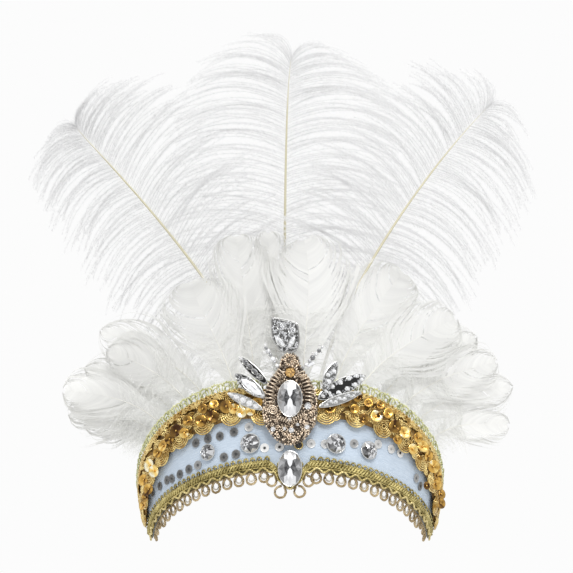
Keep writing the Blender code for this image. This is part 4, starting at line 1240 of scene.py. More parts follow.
FLAT_RADIUS = 2.75 * MM
FLAT_SECTORS = 24
SMALL_HOLE = 0.3
FLAT_SEQUINS = [
    # pixel across and down, brightness as a painted reflection, hole in millimetres
    (196, 443, 0.08, SMALL_HOLE), (208, 438.6, 0.06, SMALL_HOLE), (220, 436, 0.07, SMALL_HOLE),
    (234, 432, 0.08, SMALL_HOLE), (180, 474, 0.03, SMALL_HOLE), (189, 469, 0.06, SMALL_HOLE),
    (198, 465, 0.25, SMALL_HOLE), (224, 457, 0.10, SMALL_HOLE), (236, 454, 0.08, SMALL_HOLE),
    (354, 443.5, 0.34, SMALL_HOLE), (249, 427, 0.5, SMALL_HOLE), (311, 443.5, 0.62, SMALL_HOLE),
    (325, 444, 0.6, SMALL_HOLE), (378, 444, 0.66, SMALL_HOLE), (391, 449, 0.72, SMALL_HOLE),
    (400, 453, 0.95, 0.5), (264.6, 447.8, 1.0, 0.8), (279.4, 447, 1.0, 0.85),
    (172, 478.5, 0.05, SMALL_HOLE), (167, 480, 0.05, SMALL_HOLE), (160, 486, 0.05, SMALL_HOLE),
    (153, 492, 0.05, SMALL_HOLE), (420, 486, 0.1, SMALL_HOLE), (416, 478, 0.3, SMALL_HOLE),
]
CRESCENT_AT = (298.5, 445.0)


def flat_sequin(builder, place, radius, bright, hole):
    turn = around(FLAT_SECTORS)
    hole = hole * MM / radius
    profile = (
        (hole, 0.06), (0.5, 0.02), (0.8, 0.03), (0.93, 0.07), (1.0, 0.1), (1.0, 0.02),
        (0.5, -0.04), (hole, -0.02),
    )
    rings = [oval(turn, radius * share, radius * share, rise * radius) for share, rise in profile]
    tones = []
    for i, (share, _) in enumerate(profile):
        # painted highlight on the outer rim; the ring by the hole is darker
        edge = (0.1 if share > 0.9 else 0.0) - (0.3 if i == 0 else 0.0)
        tones.append(np.clip(bright + rng.normal(0.0, 0.03, FLAT_SECTORS) + edge, 0.0, 1.0))
    faces = grid_faces(len(profile), FLAT_SECTORS, closed=True)
    builder.add(placed(place, np.concatenate(rings)), faces, np.concatenate(tones))


def make_flat_sequins():
    builder = Builder()
    for across, down, bright, hole in FLAT_SEQUINS:
        place = on_band(across, down, 0.35 * MM)
        place = lean(place, rng.normal(0.0, 0.05), rng.normal(0.0, 0.05))
        flat_sequin(builder, place, FLAT_RADIUS, 0.06 + 0.94 * bright, hole)
    for across, down, bright, hole in FLAT_SEQUINS:
        if hole > SMALL_HOLE:
            bead(builder, on_band(across, down, 0.45 * MM).translation, 0.8 * MM, 0.04)
    place = on_band(*CRESCENT_AT, 0.8 * MM)
    flat_sequin(builder, place, 2.1 * MM, 0.1, SMALL_HOLE)
    ring = oval(around(FLAT_SECTORS), 2.4 * MM, 2.4 * MM, 0.5 * MM)
    tube(builder, placed(place, ring), 0.45 * MM, 6, closed=True, slot=1)
    finish_piece(builder, "flat_sequins", [FLAT_SEQUIN, GOLD_THREAD], [])


make_flat_sequins()

# Cut stones


def cut_gem(builder, place, half_width, half_height, thick, sides, pattern, point=0.0):
    """A brilliant cut: table, stars, kites and girdle facets. pattern gives each facet of the
    table, stars and kites a painted reflection, a tone from its direction and ring; the girdle
    and back get fixed tones. point: how sharply the top and bottom of the outline narrow."""

    def ring(share, rise, shift=0.0):
        t = [ROUND * (k + shift) / sides for k in range(sides)]
        narrow = [abs(math.cos(a)) ** point if point else 1.0 for a in t]
        return np.array([
            (half_width * share * math.cos(a) * n, half_height * share * math.sin(a), rise * thick)
            for a, n in zip(t, narrow)
        ])

    def facet(tone, *corners):
        builder.add(placed(place, corners), [list(range(len(corners)))], tone)

    table = ring(0.5, 1.0)
    star = ring(0.72, 0.78, 0.5)
    crown = ring(1.0, 0.36)
    girdle = ring(1.0, 0.28)
    inner = ring(0.24, 0.995, 0.5)
    back = ring(0.84, 0.0)
    centre = np.array([0.0, 0.0, 0.995 * thick])
    for k in range(sides):
        n = (k + 1) % sides
        t = ROUND * (k + 0.5) / sides
        corner = t - math.pi / sides
        facet(pattern(corner, 0), inner[k - 1], inner[k], centre)
        facet(pattern(corner, 1), table[k], inner[k], inner[k - 1])
        facet(pattern(t, 1), table[k], table[n], inner[k])
        facet(pattern(t, 2), table[n], table[k], star[k])
        facet(pattern(corner, 3), table[k], star[k - 1], crown[k])
        facet(pattern(corner, 3), table[k], crown[k], star[k])
        facet(pattern(t, 4), star[k], crown[k], crown[n])
        facet(0.5, crown[k], girdle[k], girdle[n], crown[n])
        facet(0.3, girdle[k], back[k], back[n], girdle[n])
    builder.add(placed(place, back), [list(range(sides))[::-1]], 0.2)


def sparkle(dark, bright, share):
    """Painted reflections: facets that are each dark or bright by chance, as a foiled stone's facets catch
    the light.
    """

    def pattern(t, ring):
        return rng.uniform(*bright) if rng.random() < share else rng.uniform(*dark)

    return pattern


def hourglass(t, ring):
    """Painted reflections: bright above and below, dark to the left and right, as the big oval stones catch
    the light.
    """
    upright = abs(math.sin(t))
    if ring <= 1:
        return 0.98 if upright > 0.76 else rng.uniform(0.03, 0.16)
    if ring == 2:
        return 0.95 if upright > 0.85 else rng.uniform(0.08, 0.3)
    return rng.uniform(0.6, 0.95) if upright > 0.8 else rng.uniform(0.1, 0.45)


def stone_rim(builder, place, half_width, half_height, radius, rise, sides=6):
    ring = oval(around(32), half_width, half_height, rise)
    tube(builder, placed(place, ring), radius, sides, closed=True, tone=0.75, slot=1)


ROUND_STONES = [
    # name, angle, height, diameter
    ("left_outer", -32.5, 17.0, 10.0),
    ("left_inner", -15.0, 16.4, 12.0),
    ("right_inner", 17.4, 16.8, 12.0),
    ("right_outer", 31.0, 17.5, 11.0),
]
# Painted facet reflections of the round stones: dark tones, bright tones and the share of bright facets
ROUND_TONES = ((0.0, 0.25), (0.5, 1.0), 0.36)
DROP_HALF = (6.9 * MM, 10.6 * MM)
STONE_HALF = (7.0 * MM, 10.8 * MM)
BIG_STONE_THICK = 5.2 * MM


def make_stones():
    for name, angle, height, diameter in ROUND_STONES:
        builder = Builder()
        radius = diameter / 2 * MM
        rim = radius * 0.96
        place = band_place(math.radians(angle), height * MM, GAP + 0.3 * MM)
        cut_gem(builder, place, radius * 0.95, radius * 0.95, 4.0 * MM, 8, sparkle(*ROUND_TONES))
        stone_rim(builder, place, rim, rim, 0.32 * MM, 1.1 * MM)
        nodes = ["round_crystal_" + name]
        finish_piece(builder, "stone_" + name, [CUT_GLASS, SILVER], nodes, False)
    builder = Builder()
    place = band_place(0.0, -1.2 * MM, GAP + 2.3 * MM + GAP)
    cut_gem(builder, place, *DROP_HALF, BIG_STONE_THICK, 12, hourglass)
    stone_rim(builder, place, DROP_HALF[0] + 0.1 * MM, DROP_HALF[1] + 0.1 * MM, 0.3 * MM, 1.5 * MM)
    finish_piece(builder, "drop_stone", [CUT_GLASS, SILVER], ["drop_crystal"], False)


make_stones()

# Brooch: a plate strewn with seed beads and rings of wire, with coils along its sides

AMBER_Y = 16.2 * MM
ROSETTE_Y = 23.6 * MM
WIRE_TONE = 0.85
SETTING_RINGS = ((0.94, 0.0), (0.98, 0.5), (0.98, 1.2), (0.93, 1.5))  # share and rise in mm
SETTING = np.array([
    # up from the brooch's centre and half width, in millimetres
    (-27.1, 2.6), (-25.0, 7.0), (-21.5, 10.5), (-14.6, 14.8), (-7.0, 16.0), (2.8, 15.4),
    (7.0, 14.2), (12.7, 11.2), (18.9, 6.4), (26.0, 4.6), (28.2, 2.0),
]) * MM
SEED_TRIES = 9000
SEED_SPACE = 1.15 * MM
LOOSE_RINGS = 90
COIL_LEFT = [(281.5, 371.0), (275.5, 378.0), (271.0, 387.0), (269.3, 396.0), (270.0, 405.0)]
COIL_RIGHT = [(300.5, 372.0), (305.5, 380.0), (309.5, 390.0), (309.0, 402.0)]
COIL_BELOW = [(277.0, 417.0), (290.0, 422.0), (304.0, 414.0)]
CURL_AT = (272.8, 410.0)
SMALL_STONES = [
    # pixel across and down, radius in millimetres
    (273, 429, 1.25), (289.5, 419.5, 1.1), (307, 427, 1.25), (291.5, 430, 1.4), (308, 406, 1.9),
    (284.5, 428.5, 0.9), (297.5, 424.5, 0.8),
]


def setting_half_width(y):
    return float(np.interp(y, SETTING[:, 0], SETTING[:, 1], 0.0, 0.0))


def in_oval(x, y, margin):
    """Whether a spot of the brooch lies under its middle stone or within a margin of it."""
    return (x / (STONE_HALF[0] + margin)) ** 2 + (y / (STONE_HALF[1] + margin)) ** 2 < 1.0


def smooth_line(points, count):
    """A smooth line through a few points."""
    points = np.asarray(points, dtype=np.float64)
    run = run_along(points)
    line = points_at(points, run, np.linspace(0.0, run[-1], count))
    for _ in range(int(count / 6)):
        line[1:-1] = 0.25 * line[:-2] + 0.5 * line[1:-1] + 0.25 * line[2:]
    return line


def bullion(builder, points, radius, wire, pitch):
    """A bright coil of wire along a line through points in the brooch's frame."""
    line = smooth_line(points, 60)
    run = run_along(line)
    turns = run[-1] / pitch
    count = int(turns * 12)
    line = points_at(line, run, np.linspace(0.0, run[-1], count))
    normal = unit(np.cross(directions(line, False), (0.0, 0.0, 1.0)))
    phase = np.linspace(0.0, ROUND * turns, count)
    off = normal * np.cos(phase)[:, None] + np.array([0.0, 0.0, 0.75]) * np.sin(phase)[:, None]
    tube(builder, placed(BROOCH, line + off * radius), wire, 5, tone=0.7, slot=1)


def seen_line(pixels, outs):
    """Points over the brooch that are seen at pixels. outs: their heights in millimetres."""
    return [tuple(on_brooch(*pixel, out * MM)) for pixel, out in zip(pixels, outs)]


def seed_spots():
    """Spots for the seed beads, clear of the stones and of each other."""
    spots = []
    for _ in range(SEED_TRIES):
        y = rng.uniform(-26.5, 27.5) * MM
        x = rng.uniform(-16.0, 16.0) * MM
        if abs(x) > setting_half_width(y) - 0.5 * MM or in_oval(x, y, 0.5 * MM):
            continue
        if any(math.hypot(x, y - middle) < 4.3 * MM for middle in (AMBER_Y, ROSETTE_Y)):
            continue
        if not any((x - p[0]) ** 2 + (y - p[1]) ** 2 < SEED_SPACE**2 for p in spots):
            spots.append((x, y))
    return spots


def make_seed_beads(builder, beds):
    """beds: points beneath the coils, where the beads lie low and are painted dark as shade under the
    coils.
    """
    for x, y in seed_spots():
        under_coil = np.linalg.norm(beds - [x, y], axis=1).min() < 2.4 * MM
        rise = 1.9 * MM if under_coil else (2.0 + rng.uniform(0.0, 0.9)) * MM
        tone = rng.choice([0.08, 0.35, 0.65, 1.0], p=[0.33, 0.2, 0.2, 0.27]) + rng.normal(0.0, 0.05)
        # painted shade: beads under the coils are dark
        tone = 0.08 if under_coil else float(np.clip(tone, 0.0, 1.0))
        bead(builder, BROOCH @ Vector((x, y, rise)), rng.uniform(0.6, 0.85) * MM, tone, 1, 7, 4)


def make_loose_rings(builder):
    turn = around(10)
    for _ in range(LOOSE_RINGS):
        y = rng.uniform(-26.0, -2.0) * MM if rng.random() < 0.8 else rng.uniform(10.0, 26.0) * MM
        x = rng.uniform(-1.0, 1.0) * (setting_half_width(y) - 1.0 * MM)
        if in_oval(x, y, 1.8 * MM):
            continue
        tip = turned(rng.uniform(0, 6.28)) @ turned(rng.uniform(0.3, 1.3), "X")
        place = BROOCH @ Matrix.Translation((x, y, 2.9 * MM)) @ tip
        size = rng.uniform(0.8, 1.2) * MM
        ring = placed(place, oval(turn, size, size))
        tube(builder, ring, 0.3 * MM, 5, closed=True, tone=WIRE_TONE, slot=1)


def make_setting():
    builder = Builder()
    ys = np.linspace(-27.1, 28.2, 24) * MM
    right = [(setting_half_width(y), y) for y in ys]
    outline = np.array(right + [(-x, y) for x, y in reversed(right)])
    rings = [raised(outline * share, rise * MM) for share, rise in SETTING_RINGS]
    plate(builder, BROOCH, rings, 0.1, 0.1, 0.1, 1)
    left = seen_line(COIL_LEFT, [4.6] * 5)
    right = seen_line(COIL_RIGHT, [4.4, 4.6, 4.6, 4.6])
    beds = np.concatenate([smooth_line(left, 12), smooth_line(right, 12)])[:, :2]
    make_seed_beads(builder, beds)
    make_loose_rings(builder)
    rim = raised(outline, 1.3 * MM)
    rim = placed(BROOCH, np.concatenate([rim, rim[:1]]))
    run = run_along(rim)
    for centre in points_at(rim, run, np.arange(0.0, run[-1], 1.75 * MM)):
        bead(builder, centre, 0.85 * MM, float(rng.choice([0.15, 0.5, 0.9])), 1, 7, 4)
    for line in (left, right):
        bullion(builder, line, 2.5 * MM, 0.36 * MM, 2.3 * MM)
    turn = np.linspace(0.0, 5.2 * math.pi, 60)
    radius = (0.4 + 0.52 * turn / math.pi) * MM
    curl = oval(turn, radius, radius) + np.array(on_brooch(*CURL_AT, 4.4 * MM))
    tube(builder, placed(BROOCH, curl), 0.38 * MM, 6, tone=0.75, slot=1)
    below = seen_line(COIL_BELOW, (3.4, 3.6, 3.4))
    bullion(builder, below, 1.3 * MM, 0.34 * MM, 1.5 * MM)
    materials = [BRONZE_WIRE, SEED_BEAD]
    finish_piece(builder, "brooch_beadwork", materials, ["brooch_setting"])

    gems = Builder()
    # painted facet reflections of the small stones
    tones = ((0.3, 0.6), (0.85, 1.0), 0.7)
    for across, down, radius in SMALL_STONES:
        place = BROOCH @ Matrix.Translation(on_brooch(across, down, 3.2 * MM))
        cut_gem(gems, place, radius * MM, radius * MM, 1.2 * MM, 6, sparkle(*tones))
        rim = radius * MM * 1.05
        stone_rim(gems, place, rim, rim, 0.2 * MM, 0.3 * MM, 5)
    finish_piece(gems, "brooch_small_stones", [CUT_GLASS, SILVER], [], False)


def make_brooch_stones():
    builder = Builder()
    place = BROOCH @ Matrix.Translation((0.0, 0.0, PLATE_THICK + GAP))
    cut_gem(builder, place, *STONE_HALF, BIG_STONE_THICK, 12, hourglass)
    stone_rim(builder, place, STONE_HALF[0] * 1.03, STONE_HALF[1] * 1.02, 0.34 * MM, 1.6 * MM)
    finish_piece(builder, "centre_stone", [CUT_GLASS, SILVER], ["brooch_crystal"], False)
    builder = Builder()
    place = BROOCH @ Matrix.Translation((0.0, AMBER_Y, PLATE_THICK + GAP))
    # painted facet reflections of the amber stone
    tones = ((0.15, 0.5), (0.6, 1.0), 0.55)
    cut_gem(builder, place, 3.1 * MM, 3.1 * MM, 3.0 * MM, 8, sparkle(*tones))
    finish_piece(builder, "amber_stone", [CUT_AMBER], ["amber_crystal"], False)


def make_rosette():
    """A ring of beads round the amber stone, and above it a coil bent into a ring."""
    builder = Builder()
    for k, (x, y, z) in enumerate(oval(around(16), 4.0 * MM, 4.0 * MM, 1.2 * MM)):
        if abs(math.sin(ROUND * k / 16) + 1.0) < 0.2:
            continue
        centre = BROOCH @ Vector((x, y + AMBER_Y, z + PLATE_THICK + GAP))
        bead(builder, centre, 0.72 * MM, float(rng.choice([0.25, 0.5, 0.9])), 1, 7, 4)
    middle = np.array([0.0, ROSETTE_Y, PLATE_THICK + GAP])
    turn = around(150)
    reach = (3.0 + 0.75 * np.cos(turn * 14)) * MM
    coil = oval(turn, reach, reach, (1.4 + 0.75 * np.sin(turn * 14)) * MM) + middle
    tube(builder, placed(BROOCH, coil), 0.34 * MM, 5, closed=True, tone=WIRE_TONE, slot=1)
    for k, spot in enumerate(placed(BROOCH, oval(around(5), 1.0 * MM, 1.0 * MM, 1.0 * MM) + middle)):
        bead(builder, spot, 0.6 * MM, 0.15 if k % 2 else 0.7, 1, 7, 4)
    materials = [BRONZE_WIRE, SEED_BEAD]
    finish_piece(builder, "rosette_beads", materials, ["brooch_rosette"])


# The six leaves at the brooch's sides

LEAVES = [
    # name, foot x and y from the brooch's centre, aim, length, width, lift, plate's tone,
    # tries for glass chips, share of their facets painted as bright glints
    ("left_upper", -12.3, 9.5, -40.6, 25.9, 5.6, 0.2, 0.0, 30, 0.3),
    ("left_middle", -13.1, 0.9, -46.0, 24.8, 8.0, 2.8, 0.03, 30, 0.6),
    ("left_lower", -14.5, -5.8, -57.6, 25.3, 5.6, 0.2, 0.62, 60, 0.85),
    ("right_upper", 18.5, 6.0, 21.0, 20.7, 7.0, 1.9, 0.2, 60, 0.6),
    ("right_middle", 14.4, 0.5, 55.9, 35.7, 10.0, 0.2, 0.05, 150, 0.62),
    ("right_lower", 14.5, -4.6, 62.5, 30.0, 5.6, 1.8, 0.42, 0, 0.0),
]
# Painted facet reflections of the leaves' stones: dark tones, bright tones and the share of bright facets
DARK = ((0.04, 0.2), (0.5, 0.8), 0.25)
GREY = ((0.2, 0.4), (0.9, 1.0), 0.6)
MIXED = ((0.3, 0.6), (0.85, 1.0), 0.6)
CLEAR = ((0.35, 0.5), (0.95, 1.0), 0.85)
PALE = ((0.6, 0.75), (0.9, 1.0), 0.75)
DOT = ((0.25, 0.4), (0.95, 1.0), 0.85)
DIM_DOT = ((0.1, 0.3), (0.8, 0.9), 0.4)
LEAF_STONES = {
    # across in millimetres, along as a share of half the leaf, width, length, tones, point
    "left_upper": [(0.0, v, 2.6, 4.4, DARK, 0.3) for v in (-0.45, -0.1, 0.25, 0.55)]
    + [(-0.3, 0.82, 2.0, 2.4, ((0.3, 0.5), (0.9, 1.0), 0.7), 0.0)],
    "left_middle": [
        (0.0, -0.12, 5.6, 17.0, ((0.55, 0.75), (0.93, 1.0), 0.8), 0.5),
        (0.0, 0.72, 3.2, 4.6, ((0.03, 0.12), (0.7, 0.9), 0.2), 0.4),
        (0.0, -0.84, 2.0, 2.4, MIXED, 0.0),
    ],
    "left_lower": [
        (0.0, v, wide, 4.2, PALE, 0.2)
        for v, wide in ((-0.6, 3.0), (-0.25, 3.6), (0.12, 3.6), (0.48, 3.0), (0.78, 2.0))
    ],
    "right_upper": [
        (u, v, wide, wide, DOT if wide > 2.3 else DIM_DOT, 0.0)
        for u, v, wide in (
            (0.9, 0.35, 2.6), (-1.3, 0.0, 2.4), (0.6, -0.35, 3.0), (-0.8, -0.65, 2.2),
            (0.1, 0.75, 1.8),
        )
    ],
    "right_middle": [
        (u, v, wide, wide, CLEAR, 0.0)
        for u, v, wide in (
            (-2.6, -0.3, 2.6), (-2.9, 0.02, 2.9), (-2.8, 0.36, 2.9), (-2.0, 0.66, 2.5),
            (2.3, -0.2, 2.6), (2.6, 0.14, 2.9), (2.6, 0.46, 2.9), (1.6, 0.76, 2.4),
            (0.0, 0.86, 1.8), (2.2, -0.5, 2.2), (-1.8, -0.6, 2.2), (0.2, -0.75, 2.0),
            (0.1, -0.5, 2.0),
        )
    ],
    "right_lower": [],
}
for k in range(9):
    along = -0.82 + k * 0.2
    wide = 1.7 + 1.3 * math.cos(math.pi / 2 * along)
    side = 0.9 if k % 2 else -0.9
    LEAF_STONES["right_lower"] += [
        (side * 0.7, along, wide * 0.72, wide * 0.8, ((0.45, 0.65), (0.92, 1.0), 0.7), 0.0),
        (-side * 0.9, along + 0.1, wide * 0.5, wide * 0.55, GREY, 0.0),
    ]
LEAF_STEPS = 28
LEAF_RINGS = ((0.93, 0.0), (0.98, 0.4), (0.97, 1.0), (0.9, 1.15))  # share and rise in mm
LONG_STONE = 10.0  # a stone longer than this many millimetres lies a little lower
RIM_REACH = 1.04
DARK_BAND = "right_middle"  # the leaf with a dark band along its middle


def leaf_outline(length, width):
    """A pointed leaf, its foot at -length / 2."""
    turn = around(LEAF_STEPS)
    x = np.sin(turn) * np.abs(np.sin(turn)) ** 0.35 * width / 2
    return np.stack([x, np.cos(turn) * length / 2], axis=1)


def glass_chips(builder, place, low, high, on_plate, tries, share, rise):
    """Small facets scattered over a plate, as in openwork set with glass. Each facet is painted dark or
    bright by chance: painted reflections.
    """
    for _ in range(tries):
        spot = np.array([rng.uniform(low[0], high[0]), rng.uniform(low[1], high[1])])
        if not on_plate(spot):
            continue
        at = place @ Matrix.Translation((spot[0], spot[1], rise)) @ turned(rng.uniform(0.0, ROUND))
        size = rng.uniform(0.5, 1.0) * MM
        tones = sparkle((0.0, 0.25), (0.7, 1.0), share)
        cut_gem(builder, at, size * 0.7, size * 1.5, 0.8 * MM, 5, tones)


def make_leaf(row):
    name, x, y, aim, length, width, lift, tone, tries, bright = row
    tilt = math.radians(aim)
    height = BROOCH_HEIGHT + (y + length / 2 * math.cos(tilt)) * MM
    across = (x + length / 2 * math.sin(tilt)) * MM
    angle = math.asin(across / (HALF_WIDTH + height * math.sin(FLARE)))
    place = band_place(angle, height, BROOCH_OUT + lift * MM) @ turned(-tilt)
    builder = Builder()
    outline = leaf_outline(length * MM, width * MM)
    rings = [raised(outline * share, rise * MM) for share, rise in LEAF_RINGS]
    plate(builder, place, rings, tone, 0.3, tone, -1)
    rim = placed(place, raised(outline * 0.95, 1.15 * MM))
    tube(builder, rim, 0.26 * MM, 5, closed=True, tone=0.7, slot=1)
    half = length / 2 * MM

    def on_plate(spot):
        v = spot[1] / half
        room = max(0.0, 1.0 - v * v) ** 0.675 * width / 2 * MM
        on_band = name == DARK_BAND and abs(v) < 0.62 and abs(spot[0] + 0.3 * MM) < 0.42 * room
        return abs(spot[0]) < room - 0.7 * MM and not on_band

    reach = (width / 2 * MM, half)
    glass_chips(builder, place, (-reach[0], -half), reach, on_plate, tries, bright, 0.9 * MM)
    if name == DARK_BAND:
        middle = outline * np.array([0.42, 0.62]) + np.array([-0.3 * MM, 0.1 * half])
        low, high = raised(middle, 1.1 * MM), raised(middle, 1.6 * MM)
        sides = grid_faces(2, LEAF_STEPS, closed=True)[:, ::-1]
        builder.add(placed(place, np.concatenate([low, high])), sides, 0.0, None, 1)
        builder.add(placed(place, high), [list(range(LEAF_STEPS))[::-1]], 0.02, None, 1)
    for u, v, wide, long, tones, point in LEAF_STONES[name]:
        rise = 1.15 if long > LONG_STONE else 1.2
        at = place @ Matrix.Translation((u * MM, v * half, rise * MM))
        half_width, half_height = wide / 2 * MM, long / 2 * MM
        cut_gem(builder, at, half_width, half_height, 1.5 * MM, 8, sparkle(*tones), point)
        reach = (half_width * RIM_REACH, half_height * RIM_REACH)
        stone_rim(builder, at, *reach, 0.2 * MM, 0.3 * MM, 5)
    finish_piece(builder, "gem_leaf_" + name, [CUT_GLASS, SILVER], ["leaf_" + name], False)


# The openwork leaf on top of the brooch, in millimetres from the brooch's centre

TOP_LEAF = [(-11.7, 51.7), (5.1, 47.8), (6.3, 35.1), (3.6, 29.2), (-5.4, 29.0), (-11.3, 38.2)]
TOP_LEAF_STEPS = 40
TOP_LEAF_RINGS = ((0.95, 0.3), (1.0, 0.7), (0.98, 1.4), (0.9, 1.6))  # share and rise in mm
VEINS = [
    # wire's radius, tone, points
    (0.42, 0.08, [(-3.5, 30.0, 1.8), (-8.2, 38.0, 1.9), (-9.6, 46.0, 1.8)]),
    (0.36, 0.1, [(-2.0, 30.0, 1.8), (-4.4, 36.0, 2.2), (-6.8, 41.0, 1.9)]),
    (0.5, 0.12, [(-0.5, 30.0, 1.8), (-0.8, 37.0, 2.2), (-2.0, 42.0, 1.9)]),
    (0.45, 0.06, [(0.6, 30.0, 1.8), (3.6, 36.0, 2.0), (4.2, 42.0, 1.9), (2.6, 46.0, 1.8)]),
    (0.4, 0.25, [(-8.6, 47.0, 1.8), (-5.3, 49.2, 1.9), (-2.2, 47.6, 1.9), (1.0, 46.6, 1.9)]),
]
# Painted facet reflections of the top leaf's stones: dark tones, bright tones and the share of bright
# facets
TOP_ROUND = ((0.05, 0.25), (0.9, 1.0), 0.55)
TOP_LONG = ((0.45, 0.7), (0.93, 1.0), 0.75)
TOP_STONES = [
    # name, x, y, aim, width, length, point, tones, how far the rim reaches up the stone
    ("round_left", -5.3, 44.8, 0, 4.6, 4.6, 0.0, TOP_ROUND, 0.98),
    ("round_right", 1.3, 42.6, 0, 4.4, 4.4, 0.0, TOP_ROUND, 0.98),
    ("long_left", -6.0, 35.6, -40, 3.4, 10.4, 0.5, TOP_LONG, 0.7),
    ("long_right", 1.0, 35.2, 26, 3.2, 9.0, 0.5, TOP_LONG, 0.7),
]


def make_top_leaf():
    builder = Builder()
    corners = np.array(TOP_LEAF) * MM
    closed = np.concatenate([corners, corners[:1]])
    run = run_along(closed)
    outline = points_at(closed, run, np.linspace(0.0, run[-1], TOP_LEAF_STEPS, endpoint=False))
    for _ in range(2):
        beside = 0.25 * np.roll(outline, 1, axis=0) + 0.25 * np.roll(outline, -1, axis=0)
        outline = 0.5 * outline + beside
    middle = outline.mean(axis=0)
    around_middle = outline - middle
    rings = [raised(middle + around_middle * share, rise * MM) for share, rise in TOP_LEAF_RINGS]
    plate(builder, BROOCH, rings, 0.4, 0.6, 0.12, 1)
    sides = closed[1:] - corners

    def on_plate(spot):
        away = spot - corners
        depth = (sides[:, 1] * away[:, 0] - sides[:, 0] * away[:, 1]) / np.linalg.norm(sides, axis=1)
        return depth.min() > 1.3 * MM

    low, high = (-11.0 * MM, 29.5 * MM), (6.0 * MM, 51.0 * MM)
    glass_chips(builder, BROOCH, low, high, on_plate, 240, 0.7, 1.5 * MM)
    rim = placed(BROOCH, raised(middle + around_middle * 0.97, 1.6 * MM))
    tube(builder, rim, 0.27 * MM, 5, closed=True, tone=0.6, slot=1)
    for radius, tone, points in VEINS:
        line = placed(BROOCH, smooth_line(np.array(points) * MM, 16))
        tube(builder, line, radius * MM, 5, tone=tone, slot=1)
    nodes = ["leaf_top"]
    for name, x, y, aim, wide, long, point, tones, rim_reach in TOP_STONES:
        half_width, half_height = wide / 2 * MM, long / 2 * MM
        at = Matrix.Translation((x * MM, y * MM, 1.8 * MM + GAP))
        place = BROOCH @ at @ turned(math.radians(-aim))
        gem = (half_width * 0.9, half_height * 0.94, 1.8 * MM)
        cut_gem(builder, place, *gem, 8, sparkle(*tones), point)
        stone_rim(builder, place, half_width, half_height * rim_reach, 0.26 * MM, 0.2 * MM, 5)
        nodes.append("top_stone_" + name)
    materials = [CUT_GLASS, SILVER, SEED_BEAD]
    finish_piece(builder, "gem_leaf_top", materials, nodes, False)


SPRIG_OUT = 1.9
SPRIGS = [
    # name, foot x and y, tip x and y, beads as share, radius and brightness
    ("left", (-6.9, 19.5), (-14.8, 32.4), (
        (0.1, 1.2, 0.95), (0.28, 1.0, 0.5), (0.42, 1.5, 1.0), (0.62, 1.2, 0.35),
        (0.78, 1.6, 0.65), (0.95, 1.1, 0.3),
    )),
    ("right", (7.1, 18.6), (20.0, 33.0), (
        (0.05, 1.1, 0.3), (0.2, 1.2, 0.85), (0.36, 1.2, 0.5), (0.5, 1.7, 0.22),
        (0.66, 1.2, 0.8), (0.8, 1.3, 0.2), (0.95, 0.9, 0.7),
    )),
]


def make_sprigs():
    for name, foot, tip, beads in SPRIGS:
        builder = Builder()
        foot = Vector((*foot, SPRIG_OUT)) * MM
        tip = Vector((*tip, SPRIG_OUT)) * MM
        stem = [tuple(BROOCH @ foot.lerp(tip, s)) for s in np.linspace(0.0, 1.0, 8)]
        tube(builder, np.array(stem), 0.28 * MM, 6, tone=0.7, slot=1)
        for share, radius, tone in beads:
            spot = foot.lerp(tip, share)
            bead(builder, BROOCH @ spot, radius * MM, tone, 0, 10, 6)
            side = spot + Vector((rng.normal(0, 1.3), rng.normal(0, 1.3), 0.3)) * MM
            bead(builder, BROOCH @ side, 0.55 * MM, 0.9, 1, 7, 4)
        if name == "right":
            at = Matrix.Translation((12.6 * MM, 21.5 * MM, 1.4 * MM))
            place = BROOCH @ at @ turned(math.radians(-48))
            # painted facet reflections of the sprig's stone
            tones = ((0.8, 0.9), (0.95, 1.0), 0.8)
            cut_gem(builder, place, 1.3 * MM, 3.0 * MM, 1.6 * MM, 8, sparkle(*tones), 0.4)
        nodes = ["sprig_" + name]
        finish_piece(builder, "bead_sprig_" + name, [CUT_GLASS, SILVER], nodes)


make_setting()
make_brooch_stones()
make_rosette()
for row in LEAVES:
    make_leaf(row)
make_top_leaf()
make_sprigs()

# Floor, light and camera

FLOOR = -0.12
FLOOR_HALF = 6.0
PAPER = 0.974  # the even near-white that the camera sees all round
ROOM = 1.0
FRONT_DIM = 0.6  # how bright the room is behind the camera
LAMPS = [
    # name, place, size, power
    ("key_light", (0.2, -1.3, 1.5), 0.6, 17.0),
    ("top_light", (0.3, -0.2, 1.8), 1.0, 9.0),
]
LAMP_AIM = Vector((0.0, 0.0, 0.15))


def pale_floor():
    mesh = bpy.data.meshes.new("studio_floor")
    corners = [(x * FLOOR_HALF, y * FLOOR_HALF, FLOOR) for x, y in ((-1, -1), (1, -1), (1, 1), (-1, 1))]
    mesh.from_pydata(corners, [], [(0, 1, 2, 3)])
    floor = bpy.data.objects.new("studio_floor", mesh)
    bpy.context.scene.collection.objects.link(floor)
    material, _, shader = new_material("pale_floor", (0.0, 0.0, 0.0), 1.0)
    shader.inputs["Specular IOR Level"].default_value = 0.0
    shader.inputs["Emission Color"].default_value = (1.0, 1.0, 1.0, 1.0)
    shader.inputs["Emission Strength"].default_value = PAPER
    mesh.materials.append(material)


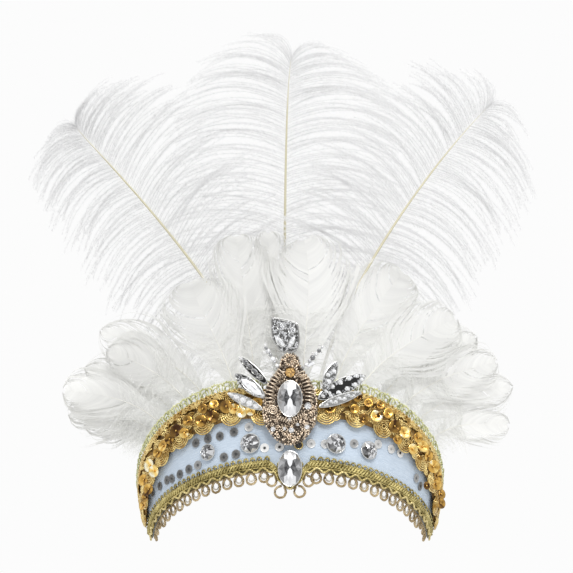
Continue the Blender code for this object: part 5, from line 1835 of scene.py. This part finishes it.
def pale_room():
    """The camera sees even paper. The part is lit by a room that dims towards the front."""
    world = bpy.data.worlds.new("studio")
    world.use_nodes = True
    tree = world.node_tree
    back = tree.nodes["Background"]
    way = new_node(tree, "TexCoord")
    parts = new_node(tree, "SeparateXYZ")
    dim = new_node(tree, "MapRange", From_Min=-0.8, From_Max=0.1, To_Min=FRONT_DIM, To_Max=ROOM)
    ray = new_node(tree, "LightPath")
    pick = new_node(tree, "Mix")
    pick.inputs[3].default_value = PAPER
    tree.links.new(way.outputs["Generated"], parts.inputs[0])
    tree.links.new(parts.outputs["Y"], dim.inputs["Value"])
    tree.links.new(ray.outputs["Is Camera Ray"], pick.inputs[0])
    tree.links.new(dim.outputs[0], pick.inputs[2])
    tree.links.new(pick.outputs[0], back.inputs[1])
    back.inputs[0].default_value = (1.0, 1.0, 1.0, 1.0)
    bpy.context.scene.world = world


def lamps():
    for name, place, size, power in LAMPS:
        data = bpy.data.lights.new(name, "AREA")
        data.shape = "SQUARE"
        data.size = size
        data.energy = power
        light = bpy.data.objects.new(name, data)
        light.location = place
        light.rotation_euler = (LAMP_AIM - Vector(place)).to_track_quat("-Z", "Y").to_euler()
        bpy.context.scene.collection.objects.link(light)


def photo_camera():
    """The photograph's camera, turned so that no shift is needed."""
    middle = (PHOTO_SIZE / 2 - PHOTO_MIDDLE) * PHOTO_SCALE
    level = (PHOTO_ZERO - PHOTO_SIZE / 2) * PHOTO_SCALE
    eye = Vector((0.0, VIEW_PLANE - VIEW_DISTANCE, VIEW_HEIGHT))
    target = Vector((middle, VIEW_PLANE, level))
    data = bpy.data.cameras.new("photo_camera")
    data.sensor_width = 36.0
    half = PHOTO_SIZE * PHOTO_SCALE / 2
    data.lens = 18.0 / (half / (target - eye).length)
    data.clip_start = 0.05
    camera = bpy.data.objects.new("photo_camera", data)
    camera.location = eye
    camera.rotation_euler = (target - eye).to_track_quat("-Z", "Y").to_euler()
    bpy.context.scene.collection.objects.link(camera)
    bpy.context.scene.camera = camera


pale_floor()
pale_room()
lamps()
photo_camera()
bpy.context.scene.view_settings.view_transform = "Standard"
